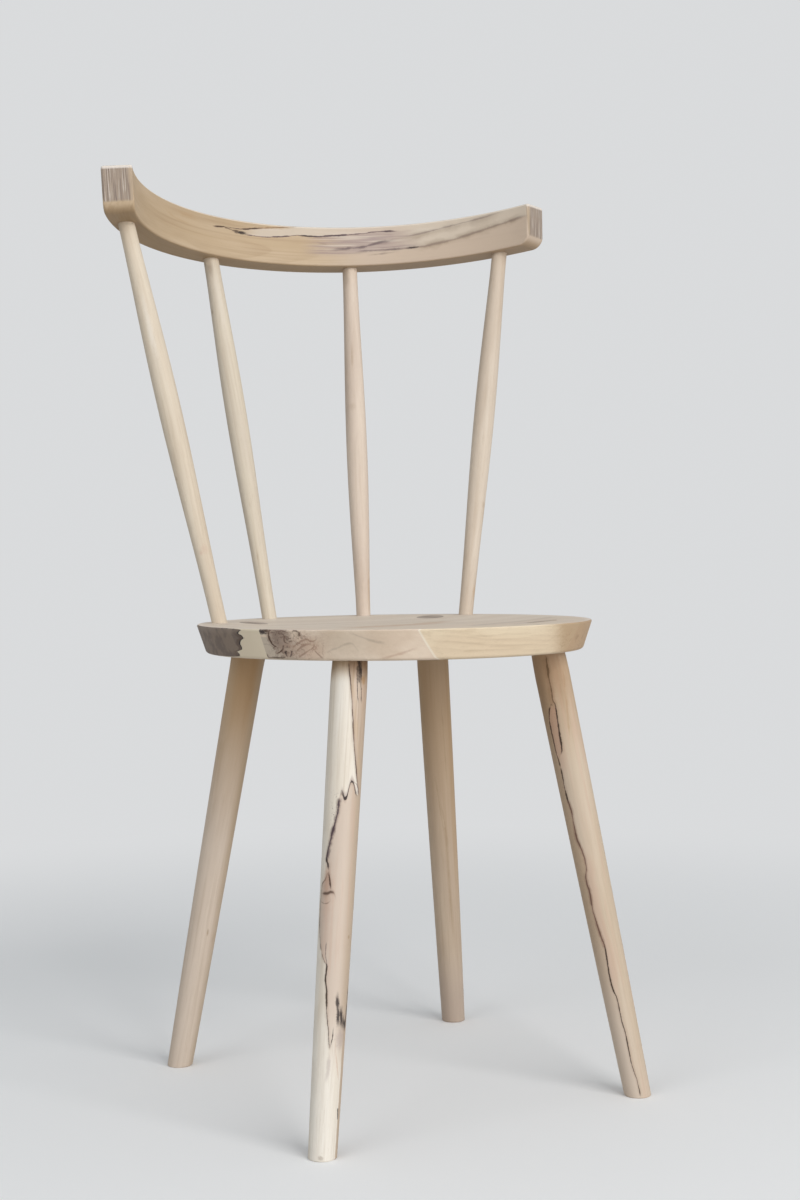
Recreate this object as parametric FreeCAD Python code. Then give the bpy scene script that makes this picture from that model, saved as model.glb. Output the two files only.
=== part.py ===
import FreeCAD, Part
import math
import os

from FreeCAD import Placement, Rotation, Vector

# A spindle-back chair of the windsor kind: a dished seat glued from three boards, four splayed
# legs wedged through it, and four spindles that carry a curved crest rail.
# Lengths are in millimetres, angles in degrees. +Z is up, the front of the chair faces -Y and
# +X is the right hand of somebody who looks at its front.

# Seat
seat_height = 440.0          # floor to the flat rim of the seat
seat_width = 368.0
seat_depth = 392.0
seat_thickness = 27.0
seat_undercut = 9.0          # the lower outline lies this far inside the upper one
seat_top_chamfer = 1.2
seat_bottom_round = 4.0
dish_rim = 28.0              # flat rim left at the sides of the dish
dish_wall = 60.0             # width of the sloping border of the dish
dish_depth = 3.2
board_joint_angle = 5.0      # the board joints run almost from side to side
front_joint_setback = 25.0   # front edge of the seat to the first board joint
middle_board_width = 118.0

# Legs
front_leg_side_inset = 84.7  # widest point of the seat to the leg's centre on top
front_leg_end_inset = 92.0   # front edge of the seat to the leg's centre on top
rear_leg_to_spindle = 39.1   # outer spindle's foot to the leg's centre on top, sideways
rear_leg_end_inset = 96.0
front_leg_side_splay = 8.3
front_leg_end_splay = 6.9
rear_leg_side_splay = 7.7
rear_leg_end_splay = 8.4
leg_foot_diameter = 24.3
leg_shoulder_diameter = 32.2
leg_bulge = 0.45             # how far the side of the leg stands proud of a straight taper
leg_shoulder_length = 20.0
leg_shoulder_fullness = 0.7  # how round the shoulder is: 0.5 would be a straight cone
leg_tenon_lower_diameter = 31.0
rear_left_tenon_extra = 2.3     # this leg enters the seat without growing thinner
leg_tenon_upper_diameter = 27.6
leg_foot_chamfer = 0.8

# Spindles
spindle_step = 37.2          # angle between neighbours, seen from above
inner_spindle_inset = 25.4   # seat edge to the spindle's centre
outer_spindle_inset = 20.5
spindle_foot_diameter = 14.6
spindle_head_diameter = 15.6
spindle_head_depth = 26.0    # how far the spindle goes into the rail
spindle_socket_spare = 1.0   # room left at the bottom of the hole in the rail

swell_sharpness = 1.6        # above 1, the swell is shorter and the ends are straighter

# Each spindle is shaved by hand, so the swell differs from one to the next, from the left:
# its height as a share of the visible length, and its diameter.
spindle_swells = ((0.54, 21.9), (0.56, 21.3), (0.46, 21.8), (0.54, 21.4))
last_spindle = len(spindle_swells) - 1

# Crest rail
rail_inner_radius = 239.7
rail_thickness = 29.2
rail_height = 42.6
rail_half_angle = 66.4
rail_centre_setback = 11.3   # centre of the rail's arc, in front of the seat's centre
rail_rise = 371.4            # the seat's rim to the rail's underside, at the middle
rail_tilt = 6.3              # the rail's ends are tipped up at the front
rail_end_lean = 4.0
rail_end_round = 12.0        # under each end
rail_edge_round = 2.4

# Wedges
leg_wedge_thickness = 3.2
leg_wedge_length = 21.0
spindle_wedge_thickness = 2.0
spindle_wedge_length = 17.0
wedge_point_share = 0.3      # thickness left at the point of a wedge

# Fits and working allowances
joint_clearance = 0.1        # glue gap all round a tenon
trim_spare = 12.0            # length left on a piece before it is trimmed flush
saw_spare_angle = 10.0       # how much further the rail runs before its ends are sawn
mortise_lead = 1.0           # a tenon is true this far out of its hole
tool_size = 4 * seat_height  # larger than anything that is trimmed with it
touching = 0.01              # nearer than this counts as lying on a level

seat_underside = seat_height - seat_thickness
half_width = seat_width / 2
half_depth = seat_depth / 2
dish_radius = min(half_width, half_depth) - dish_rim

up = Vector(0, 0, 1)
right = Vector(1, 0, 0)


def oval(inset, height):
    """The seat's outline, drawn in by inset, as a wire at a height."""
    across, along = half_width - inset, half_depth - inset
    edge = Part.Ellipse(Vector(0, 0, height), max(across, along), min(across, along)).toShape()
    if along > across:
        edge.rotate(Vector(0, 0, height), up, 90)
    return Part.Wire([edge])


def seat_radius(angle):
    """Distance from the seat's centre to its edge, at an angle from straight back."""
    sine, cosine = math.sin(math.radians(angle)), math.cos(math.radians(angle))
    return 1 / math.hypot(sine / half_width, cosine / half_depth)


def dish_profile(outer_points):
    """A solid of revolution above the dish's surface, closed through outer_points."""
    floor = seat_height - dish_depth
    floor_radius = dish_radius - dish_wall
    wall_radius = (dish_wall ** 2 + dish_depth ** 2) / (2 * dish_depth)
    half_turn = math.asin(dish_wall / wall_radius) / 2
    middle = Vector(floor_radius + wall_radius * math.sin(half_turn), 0,
                    floor + wall_radius * (1 - math.cos(half_turn)))
    start, end = Vector(floor_radius, 0, floor), Vector(dish_radius, 0, seat_height)
    corners = [end] + outer_points + [Vector(0, 0, floor)]
    edges = [Part.LineSegment(Vector(0, 0, floor), start).toShape(),
             Part.Arc(start, middle, end).toShape()]
    edges += [Part.LineSegment(a, b).toShape() for a, b in zip(corners, corners[1:])]
    return Part.Face(Part.Wire(edges)).revolve(Vector(0, 0, 0), up, 360)


def dish_tool():
    """What the maker hollows out of the seat."""
    top = seat_height + trim_spare
    return dish_profile([Vector(dish_radius, 0, top), Vector(0, 0, top)])


def above_seat_tool():
    """Everything above the finished top of the seat, dish and rim, to trim tenons flush."""
    top = seat_height + 4 * trim_spare
    reach = half_width + half_depth
    return dish_profile([Vector(reach, 0, seat_height), Vector(reach, 0, top), Vector(0, 0, top)])


def below_tool(height):
    """Everything below a level, to trim ends flush."""
    return Part.makeBox(tool_size, tool_size, tool_size,
                        Vector(-tool_size / 2, -tool_size / 2, height - tool_size))


def seat_blank():
    """The whole seat before it is cut into boards."""
    seat = Part.makeLoft([oval(seat_undercut, seat_underside), oval(0, seat_height)], True, True)
    top_edges = [e for e in seat.Edges if e.BoundBox.ZMin > seat_height - touching]
    seat = seat.makeChamfer(seat_top_chamfer, top_edges)
    low_edges = [e for e in seat.Edges if e.BoundBox.ZMax < seat_underside + touching]
    seat = seat.makeFillet(seat_bottom_round, low_edges)
    return seat.cut(dish_tool())


def board_slab(front, back):
    """The space between two board joints, given by their distances behind the seat's centre."""
    slab = Part.makeBox(tool_size, back - front, tool_size, Vector(-tool_size / 2, front, 0))
    slab.rotate(Vector(0, 0, 0), up, board_joint_angle)
    return slab


def seat_boards():
    """The three boards of the seat, front to back, still without holes."""
    first_joint = front_joint_setback - half_depth
    second_joint = first_joint + middle_board_width
    joints = (-tool_size, first_joint, second_joint, tool_size)
    names = ("seat_board_front", "seat_board_middle", "seat_board_rear")
    blank = seat_blank()
    return {name: blank.common(board_slab(front, back))
            for name, front, back in zip(names, joints, joints[1:])}


def turned(edges, start, direction):
    """A round piece: a profile drawn in X and Z, turned about Z and laid along direction."""
    first = edges[0].valueAt(edges[0].FirstParameter)
    last = edges[-1].valueAt(edges[-1].LastParameter)
    foot, head = Vector(0, 0, first.z), Vector(0, 0, last.z)
    outline = [Part.LineSegment(foot, first).toShape()] + edges
    outline += [Part.LineSegment(last, head).toShape(), Part.LineSegment(head, foot).toShape()]
    solid = Part.Face(Part.Wire(outline)).revolve(Vector(0, 0, 0), up, 360)
    solid.Placement = Placement(start, Rotation(up, direction))
    return solid


def line(radius_a, z_a, radius_b, z_b):
    return Part.LineSegment(Vector(radius_a, 0, z_a), Vector(radius_b, 0, z_b)).toShape()


def arc(radius_a, z_a, radius_m, z_m, radius_b, z_b):
    return Part.Arc(Vector(radius_a, 0, z_a), Vector(radius_m, 0, z_m),
                    Vector(radius_b, 0, z_b)).toShape()


def wedge_prism(head, direction, thickness, length, width):
    """A wedge whose wide end lies past head. It spreads the tenon along the seat's grain."""
    along_grain = Vector(math.cos(math.radians(board_joint_angle)),
                         math.sin(math.radians(board_joint_angle)), 0)
    across = direction.cross(along_grain).normalize()
    sideways = across.cross(direction).normalize()
    half_head, half_point = thickness / 2, thickness * wedge_point_share / 2
    reach = trim_spare / length
    half_far = half_head + (half_head - half_point) * reach
    corners = [head + direction * trim_spare + sideways * half_far,
               head + direction * trim_spare - sideways * half_far,
               head - direction * length - sideways * half_point,
               head - direction * length + sideways * half_point]
    corners = [corner - across * width / 2 for corner in corners]
    return Part.Face(Part.makePolygon(corners + corners[:1])).extrude(across * width)


def foot_ring(foot, radius):
    """What is planed off round a foot, so that its edge doesn't splinter."""
    height = 3 * leg_foot_chamfer
    low_radius = radius - leg_foot_chamfer
    slab = Part.makeBox(4 * radius, 4 * radius, height, foot - Vector(2 * radius, 2 * radius, 0))
    return slab.cut(Part.makeCone(low_radius, low_radius + height, height, foot))


def leg(side, end):
    """One leg, its wedge and the hole it needs. side is -1 left or 1 right, end -1 front or 1."""
    if end < 0:
        reach, end_inset = half_width - front_leg_side_inset, front_leg_end_inset
        side_splay, end_splay = front_leg_side_splay, front_leg_end_splay
    else:
        reach, end_inset = spindle_foot(last_spindle).x - rear_leg_to_spindle, rear_leg_end_inset
        side_splay, end_splay = rear_leg_side_splay, rear_leg_end_splay
    head = Vector(side * reach, end * (half_depth - end_inset), seat_height)
    foot = Vector(head.x + side * seat_height * math.tan(math.radians(side_splay)),
                  head.y + end * seat_height * math.tan(math.radians(end_splay)), 0)
    axis = head - foot
    length = axis.Length
    direction = Vector(axis).normalize()
    slant = length / seat_height

    foot_radius, shoulder_radius = leg_foot_diameter / 2, leg_shoulder_diameter / 2
    lower_radius, upper_radius = leg_tenon_lower_diameter / 2, leg_tenon_upper_diameter / 2
    if side < 0 < end:
        lower_radius = lower_radius + rear_left_tenon_extra / 2
    lead = lower_radius * math.tan(math.acos(1 / slant)) + mortise_lead
    tenon_start = seat_underside * slant - lead
    shoulder = tenon_start - leg_shoulder_length
    taper = (upper_radius - lower_radius) / (length - tenon_start)
    spare_radius = upper_radius + taper * trim_spare

    start_radius = foot_radius - (shoulder_radius - foot_radius) * trim_spare / shoulder
    side_line = arc(start_radius, -trim_spare,
                    (foot_radius + shoulder_radius) / 2 + leg_bulge, shoulder / 2,
                    shoulder_radius, shoulder)
    rounding = arc(shoulder_radius, shoulder,
                   lower_radius + leg_shoulder_fullness * (shoulder_radius - lower_radius),
                   shoulder + leg_shoulder_length / 2, lower_radius, tenon_start)
    tenon = line(lower_radius, tenon_start, spare_radius, length + trim_spare)
    piece = turned([side_line, rounding, tenon], foot, direction)
    piece = piece.cut(above_seat_tool()).cut(below_tool(0))
    piece = piece.cut(foot_ring(foot, foot_radius * slant))

    prism = wedge_prism(head, direction, leg_wedge_thickness, leg_wedge_length,
                        leg_shoulder_diameter)
    wedge = piece.common(prism)
    piece = piece.cut(prism)

    gap = joint_clearance
    hole = turned([line(lower_radius - taper * trim_spare + gap, tenon_start - trim_spare,
                        spare_radius + gap, length + trim_spare)], foot, direction)
    return piece, wedge, hole


def swell_edge(length, share, diameter):
    """The side of a spindle between seat and rail, a soft swell on a straight taper."""
    foot_radius, head_radius = spindle_foot_diameter / 2, spindle_head_diameter / 2
    at_swell = foot_radius + (head_radius - foot_radius) * share
    power = math.log(0.5) / math.log(share)
    steps = 10
    points = []
    for step in range(steps + 1):
        u = step / steps
        taper = foot_radius + (head_radius - foot_radius) * u
        rise = math.sin(math.pi * u ** power) ** swell_sharpness
        points.append(Vector(taper + (diameter / 2 - at_swell) * rise, 0, length * u))
    curve = Part.BSplineCurve()
    curve.interpolate(points, InitialTangent=Vector(0, 0, 1), FinalTangent=Vector(0, 0, 1))
    return curve.toShape()


def rail_placement():
    """Where the rail's own frame lies: its arc's centre, level with the underside, tipped."""
    back = rail_inner_radius - rail_centre_setback
    tip = Rotation(right, -rail_tilt)
    middle = Vector(0, back, seat_height + rail_rise)
    return Placement(middle - tip.multVec(Vector(0, rail_inner_radius, 0)), tip)


def spindle_angle(order):
    """The angle of a spindle from straight back. order counts 0 to 3 from the left."""
    return (order - last_spindle / 2) * spindle_step


def spindle_foot(order):
    """The centre of a spindle on the seat's rim."""
    angle = spindle_angle(order)
    inset = inner_spindle_inset if abs(angle) < spindle_step else outer_spindle_inset
    reach = seat_radius(angle) - inset
    return Vector(reach * math.sin(math.radians(angle)), reach * math.cos(math.radians(angle)),
                  seat_height)


def spindle(order):
    """One spindle, its wedge and the two holes it needs."""
    angle = spindle_angle(order)
    foot = spindle_foot(order)
    middle_radius = rail_inner_radius + rail_thickness / 2
    head = rail_placement().multVec(Vector(middle_radius * math.sin(math.radians(angle)),
                                           middle_radius * math.cos(math.radians(angle)), 0))
    axis = head - foot
    length = axis.Length
    direction = Vector(axis).normalize()

    foot_radius, head_radius = spindle_foot_diameter / 2, spindle_head_diameter / 2
    below = seat_thickness * length / axis.z + trim_spare
    share, diameter = spindle_swells[order]
    lead = foot_radius * math.tan(math.acos(direction.z)) + mortise_lead
    edges = [line(foot_radius, -below, foot_radius, lead)]
    swell = swell_edge(length - 2 * lead, share, diameter)
    swell.translate(Vector(0, 0, lead))
    edges.append(swell)
    edges.append(line(head_radius, length - lead, head_radius, length + spindle_head_depth))
    piece = turned(edges, foot, direction)
    piece = piece.cut(below_tool(seat_underside))

    wedge_head = foot - direction * (seat_thickness * length / axis.z)
    prism = wedge_prism(wedge_head, -direction, spindle_wedge_thickness, spindle_wedge_length,
                        2 * spindle_foot_diameter)
    wedge = piece.common(prism)
    piece = piece.cut(prism)

    gap = joint_clearance
    seat_hole = turned([line(foot_radius + gap, -below, foot_radius + gap, lead + trim_spare)],
                       foot, direction)
    rail_hole = turned([line(head_radius + gap, length - lead - trim_spare, head_radius + gap,
                             length + spindle_head_depth + spindle_socket_spare)],
                       foot, direction)
    return piece, wedge, seat_hole, rail_hole


def rail_end_tool(side):
    """What is sawn off one end of the rail. The saw cut leans in towards the underside."""
    reach = 4 * rail_thickness
    tool = Part.makeBox(reach, rail_thickness + 2 * reach, rail_height + 2 * reach,
                        Vector(0, rail_inner_radius - reach, -reach))
    tool.rotate(Vector(0, 0, rail_height), Vector(0, 1, 0), rail_end_lean)
    tool.rotate(Vector(0, 0, 0), up, -rail_half_angle)
    return tool if side > 0 else tool.mirror(Vector(0, 0, 0), right)


def crest_rail():
    """The rail: a bent rectangular bar with eased edges, sawn at both ends and tipped."""
    half_turn = rail_half_angle + saw_spare_angle
    section = Part.Face(Part.makePolygon([
        Vector(0, rail_inner_radius, 0), Vector(0, rail_inner_radius + rail_thickness, 0),
        Vector(0, rail_inner_radius + rail_thickness, rail_height),
        Vector(0, rail_inner_radius, rail_height), Vector(0, rail_inner_radius, 0)]))
    section.rotate(Vector(0, 0, 0), up, half_turn)
    rail = section.revolve(Vector(0, 0, 0), up, -2 * half_turn)
    for side in (-1, 1):
        rail = rail.cut(rail_end_tool(side))
    under_ends = [e for e in rail.Edges
                  if e.BoundBox.ZMax < touching and e.Length < 2 * rail_thickness]
    rail = rail.makeFillet(rail_end_round, under_ends)
    rail = rail.makeFillet(rail_edge_round, rail.Edges)
    rail.Placement = rail_placement()
    return rail


def build():
    """Every piece of the chair by name, with its joints cut."""
    pieces = seat_boards()
    seat_holes, rail_holes = [], []
    for end, end_name in ((-1, "front"), (1, "rear")):
        for side, side_name in ((-1, "left"), (1, "right")):
            piece, wedge, hole = leg(side, end)
            pieces[f"leg_{end_name}_{side_name}"] = piece
            pieces[f"leg_wedge_{end_name}_{side_name}"] = wedge
            seat_holes.append(hole)
    for order, place in enumerate(("outer_left", "inner_left", "inner_right", "outer_right")):
        piece, wedge, seat_hole, rail_hole = spindle(order)
        pieces[f"spindle_{place}"] = piece
        pieces[f"spindle_wedge_{place}"] = wedge
        seat_holes.append(seat_hole)
        rail_holes.append(rail_hole)
    for name in ("seat_board_front", "seat_board_middle", "seat_board_rear"):
        for hole in seat_holes:
            pieces[name] = pieces[name].cut(hole)
    rail = crest_rail()
    for hole in rail_holes:
        rail = rail.cut(hole)
    pieces["crest_rail"] = rail
    return pieces


def main():
    os.makedirs("parts", exist_ok=True)
    pieces = build()
    # The origin lies on the floor under the middle of the chair's box.
    box = Part.makeCompound(list(pieces.values())).optimalBoundingBox(False)
    shift = Vector(-(box.XMin + box.XMax) / 2, -(box.YMin + box.YMax) / 2, 0)
    print(f"the seat's centre lies {-shift.y:.3f} mm in front of the origin")
    for name, piece in pieces.items():
        piece.translate(shift)
        piece.exportStep(f"parts/{name}.step")
        solids = piece.Solids
        print(f"{name}: {len(solids)} solid, {piece.Volume:.0f} mm3, valid {piece.isValid()}")
    print(f"box {box.XLength:.1f} x {box.YLength:.1f} x {box.ZLength:.1f} mm")


main()
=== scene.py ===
# %% [markdown]
# # A windsor chair in spalted wood
#
# The chair is made of pale, unfinished wood that a fungus has drawn on: bleached patches with
# thin black borders, called zone lines, and grey and purple stains. Making such a chair look
# real is mostly a matter of its wood, so this lesson spends its effort there.
#
# The construction is already done: the imported model holds each leg, spindle, board and wedge at
# its real size, in metres, with +Z up and the front facing -Y. We load it as a fixed frame, give
# every piece its own wood, and make only the crest rail's surface again, in finer steps. The
# frame's outer box is kept.

# %% Load the frame
import math

import bpy
import numpy as np
from mathutils import Matrix, Vector
from mathutils.bvhtree import BVHTree


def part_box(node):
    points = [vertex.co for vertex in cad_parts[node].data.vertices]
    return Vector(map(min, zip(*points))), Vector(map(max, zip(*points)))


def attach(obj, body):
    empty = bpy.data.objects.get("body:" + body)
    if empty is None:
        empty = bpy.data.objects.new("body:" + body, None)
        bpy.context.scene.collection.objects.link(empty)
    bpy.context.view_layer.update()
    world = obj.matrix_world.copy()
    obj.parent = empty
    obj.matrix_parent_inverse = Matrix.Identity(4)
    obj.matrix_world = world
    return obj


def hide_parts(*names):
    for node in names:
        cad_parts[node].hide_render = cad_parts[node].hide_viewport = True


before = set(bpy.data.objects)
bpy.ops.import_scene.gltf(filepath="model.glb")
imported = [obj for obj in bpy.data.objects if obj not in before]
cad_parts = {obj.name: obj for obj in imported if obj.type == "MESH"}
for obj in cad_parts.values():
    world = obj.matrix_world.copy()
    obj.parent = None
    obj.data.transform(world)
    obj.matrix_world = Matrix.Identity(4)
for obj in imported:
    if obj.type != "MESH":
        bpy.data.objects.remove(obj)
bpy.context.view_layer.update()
print("pieces in the frame:", len(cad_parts))

# %% [markdown]
# ## The camera
#
# The photograph looks at the chair from its front left, at the height of the seat and the
# spindles. A camera could be placed by eye, but then no mark on the wood would land where the
# photograph has it. This one was solved from the outlines of the legs, seat and rail, so that
# any pixel of the 800 by 1200 picture can be sent back along its ray to the wood it shows.

# %% Camera
picture_width, picture_height = 800, 1200
focal_length = 1800          # in pixels of that picture
camera_place = Vector((-0.8324, -1.5272, 0.5032))
camera_yaw = math.radians(-29.35)
camera_pitch = math.radians(1.45)
camera_roll = math.radians(-0.90)

level_right = Vector((math.cos(camera_yaw), math.sin(camera_yaw), 0))
level_ahead = Vector((-math.sin(camera_yaw), math.cos(camera_yaw), 0))
straight_up = Vector((0, 0, 1))
view_ahead = level_ahead * math.cos(camera_pitch) - straight_up * math.sin(camera_pitch)
unrolled_up = straight_up * math.cos(camera_pitch) + level_ahead * math.sin(camera_pitch)
view_right = level_right * math.cos(camera_roll) + unrolled_up * math.sin(camera_roll)
view_up = unrolled_up * math.cos(camera_roll) - level_right * math.sin(camera_roll)

camera_data = bpy.data.cameras.new("camera")
camera_data.sensor_width = 36
camera_data.lens = focal_length * camera_data.sensor_width / picture_height
camera = bpy.data.objects.new("camera", camera_data)
camera.matrix_world = Matrix.Translation(camera_place) @ Matrix(
    (view_right, view_up, -view_ahead)).transposed().to_4x4()
bpy.context.scene.collection.objects.link(camera)
bpy.context.scene.camera = camera
print("camera", [round(value, 3) for value in camera_place], "lens", camera_data.lens, "mm")

# %% [markdown]
# ## A small language for materials
#
# A material in Blender is a graph of nodes. Written out one node at a time it is hard to follow,
# so this class gives each kind of node that we need a short method. A method takes numbers,
# colours or the output of another node, wires them up, and returns its own output.

# %% Node helper
class Graph:
    """Adds nodes to a material or a world. node returns the node itself, plug fills one of its
    inputs, and every other method returns output sockets."""

    def __init__(self, owner):
        owner.use_nodes = True
        self.tree = owner.node_tree
        self.tree.nodes.clear()

    def node(self, kind, inputs=None, **settings):
        made = self.tree.nodes.new("ShaderNode" + kind)
        for name, value in settings.items():
            setattr(made, name, value)
        for name, value in (inputs or {}).items():
            self.plug(made.inputs[name], value)
        return made

    def plug(self, socket, value):
        if isinstance(value, bpy.types.NodeSocket):
            self.tree.links.new(value, socket)
        elif hasattr(socket.default_value, "__len__") and not hasattr(value, "__len__"):
            socket.default_value = [value] * len(socket.default_value)
        elif socket.type == "RGBA" and len(value) == 3:
            socket.default_value = (*value, 1)
        else:
            socket.default_value = value

    def math(self, operation, *values, clamp=False):
        made = self.node("Math", operation=operation, use_clamp=clamp)
        for socket, value in zip(made.inputs, values):
            self.plug(socket, value)
        return made.outputs[0]

    def vector(self, operation, *values):
        made = self.node("VectorMath", operation=operation)
        for socket, value in zip(made.inputs, values):
            self.plug(socket, value)
        return made.outputs[0]

    def split(self, vector):
        return self.node("SeparateXYZ", {"Vector": vector}).outputs

    def join(self, x, y, z):
        return self.node("CombineXYZ", {"X": x, "Y": y, "Z": z}).outputs[0]

    def noise(self, vector, scale=1.0, detail=2.0, roughness=0.5):
        return self.node("TexNoise", {"Vector": vector, "Scale": scale, "Detail": detail,
                                      "Roughness": roughness}).outputs["Fac"]

    def ramp(self, value, low, high, bottom=0.0, top=1.0):
        """Rises smoothly from bottom to top while the value goes from low to high."""
        return self.node("MapRange", {"Value": value, "From Min": low, "From Max": high,
                                      "To Min": bottom, "To Max": top},
                         interpolation_type="SMOOTHSTEP").outputs[0]

    def mix(self, share, a, b, blend="MIX"):
        made = self.node("Mix", data_type="RGBA", blend_type=blend)
        colours = [socket for socket in made.inputs if socket.type == "RGBA"]
        for socket, value in zip([made.inputs[0]] + colours, (share, a, b)):
            self.plug(socket, value)
        return next(socket for socket in made.outputs if socket.type == "RGBA")


# %% [markdown]
# ## Floor, backdrop and light
#
# The chair stands on a plain pale floor in soft light that comes mostly from in front of it.
# Uniform world light fills the shade, one large soft lamp in front gives the sticks their
# roundness, and a weak one keeps the left side open. Their strengths are set so that a tone
# renders about as it is written. Far from the chair the floor fades into the backdrop, so that
# no horizon cuts the picture.

# %% Stage
backdrop_colour = (0.70, 0.71, 0.72)
floor_colour = (0.92, 0.93, 0.94)
floor_bounce = (0.62, 0.59, 0.55)   # the darker, warmer tone that it throws back up
sky_colour, sky_strength = (0.95, 0.98, 1.0), 0.46
floor_size = 30.0
floor_plain_from = 0.55      # metres from the chair, where the fade begins
floor_plain_to = 1.6

world = bpy.data.worlds.new("studio")
bpy.context.scene.world = world
graph = Graph(world)
ray = graph.node("LightPath").outputs
seen = graph.math("MAXIMUM", ray["Is Camera Ray"], ray["Is Transmission Ray"])
sky = graph.node("Background", {"Color": sky_colour, "Strength": sky_strength})
screen = graph.node("Background", {"Color": backdrop_colour, "Strength": 1.0})
shader = graph.node("MixShader", {0: seen, 1: sky.outputs[0], 2: screen.outputs[0]})
graph.node("OutputWorld", {"Surface": shader.outputs[0]})

floor_material = bpy.data.materials.new("floor")
graph = Graph(floor_material)
place = graph.node("TexCoord").outputs["Object"]
distance = graph.node("VectorMath", {0: place}, operation="LENGTH").outputs["Value"]
ray = graph.node("LightPath").outputs
fade = graph.ramp(distance, floor_plain_from, floor_plain_to)
fade = graph.math("MULTIPLY", fade, ray["Is Camera Ray"])
looked_at = graph.math("MAXIMUM", ray["Is Camera Ray"], ray["Is Glossy Ray"])
matt = graph.node("BsdfDiffuse", {"Color": graph.mix(looked_at, floor_bounce, floor_colour)})
glow = graph.node("Emission", {"Color": backdrop_colour, "Strength": 1.0})
shader = graph.node("MixShader", {0: fade, 1: matt.outputs[0], 2: glow.outputs[0]})
graph.node("OutputMaterial", {"Surface": shader.outputs[0]})

floor_mesh = bpy.data.meshes.new("floor")
half = floor_size / 2
floor_mesh.from_pydata([(-half, -half, 0), (half, -half, 0), (half, half, 0), (-half, half, 0)],
                       [], [(0, 1, 2, 3)])
floor = bpy.data.objects.new("floor", floor_mesh)
floor_mesh.materials.append(floor_material)
bpy.context.scene.collection.objects.link(floor)


def soft_lamp(name, place, size, power, colour, aim=(0, 0, 0.45)):
    """A square area lamp at place that faces aim."""
    data = bpy.data.lights.new(name, "AREA")
    data.size = size
    data.energy = power
    data.color = colour
    lamp = bpy.data.objects.new(name, data)
    lamp.location = place
    lamp.rotation_euler = (Vector(place) - Vector(aim)).to_track_quat("Z", "Y").to_euler()
    bpy.context.scene.collection.objects.link(lamp)


soft_lamp("front window", (0.6, -4.9, 2.3), 3.6, 205, (1.0, 0.98, 0.96))
soft_lamp("side fill", (-3.4, -1.2, 2.4), 2.4, 22, (0.96, 0.98, 1.0))
bpy.context.scene.view_settings.view_transform = "Standard"

# %% [markdown]
# ## From a pixel to a point on the wood
#
# Every mark that the photograph shows lies on a surface whose shape and place are known. So a
# mark is written down where it is seen, as a pixel, and its ray is followed until it meets the
# piece. The marks then stay on the wood, and are right from every side, where a picture thrown
# onto the chair would smear over its flanks.

# %% Rays
mm = 0.001


def ray_through(pixel):
    """The direction in which the camera sees a pixel of the 800 by 1200 picture."""
    x, y = pixel
    return (view_ahead * focal_length + view_right * (x - picture_width / 2)
            - view_up * (y - picture_height / 2)).normalized()


def surface_of(*nodes):
    """The triangles of some nodes, ready to be hit by rays."""
    corners, triangles = [], []
    for name in nodes:
        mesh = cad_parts[name].data
        start = len(corners)
        corners += [vertex.co.copy() for vertex in mesh.vertices]
        triangles += [[start + i for i in face.vertices] for face in mesh.polygons]
    return BVHTree.FromPolygons(corners, triangles)


def seen_at(surface, pixel):
    """The point of a surface behind a pixel, or the nearest one if the ray just misses."""
    direction = ray_through(pixel)
    point = surface.ray_cast(camera_place, direction)[0]
    if point is None:
        middle = surface.find_nearest(Vector((0, 0, 0.45)))[0]
        depth = (middle - camera_place).dot(direction)
        for _ in range(4):
            point = surface.find_nearest(camera_place + direction * depth)[0]
            depth = (point - camera_place).dot(direction)
    return point


# %% [markdown]
# ## Wood as a solid
#
# Wood is not a skin but a solid: rings round the pith and fibres along the grain run right
# through a piece, and a cut shows whatever lies there. A pattern on a 3-D position does the
# same, so end grain and long grain agree without any unwrapping. Each piece only needs its own
# grain coordinates, in millimetres, with Z along the fibres.
#
# Five things are layered: a slow drift between two tones, broad soft bands, the growth rings,
# fine fibres, and the short dark flecks of the rays. This wood is bleached and sanded smooth, so
# all of them are faint, and their relief is a few hundredths of a millimetre.

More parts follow.
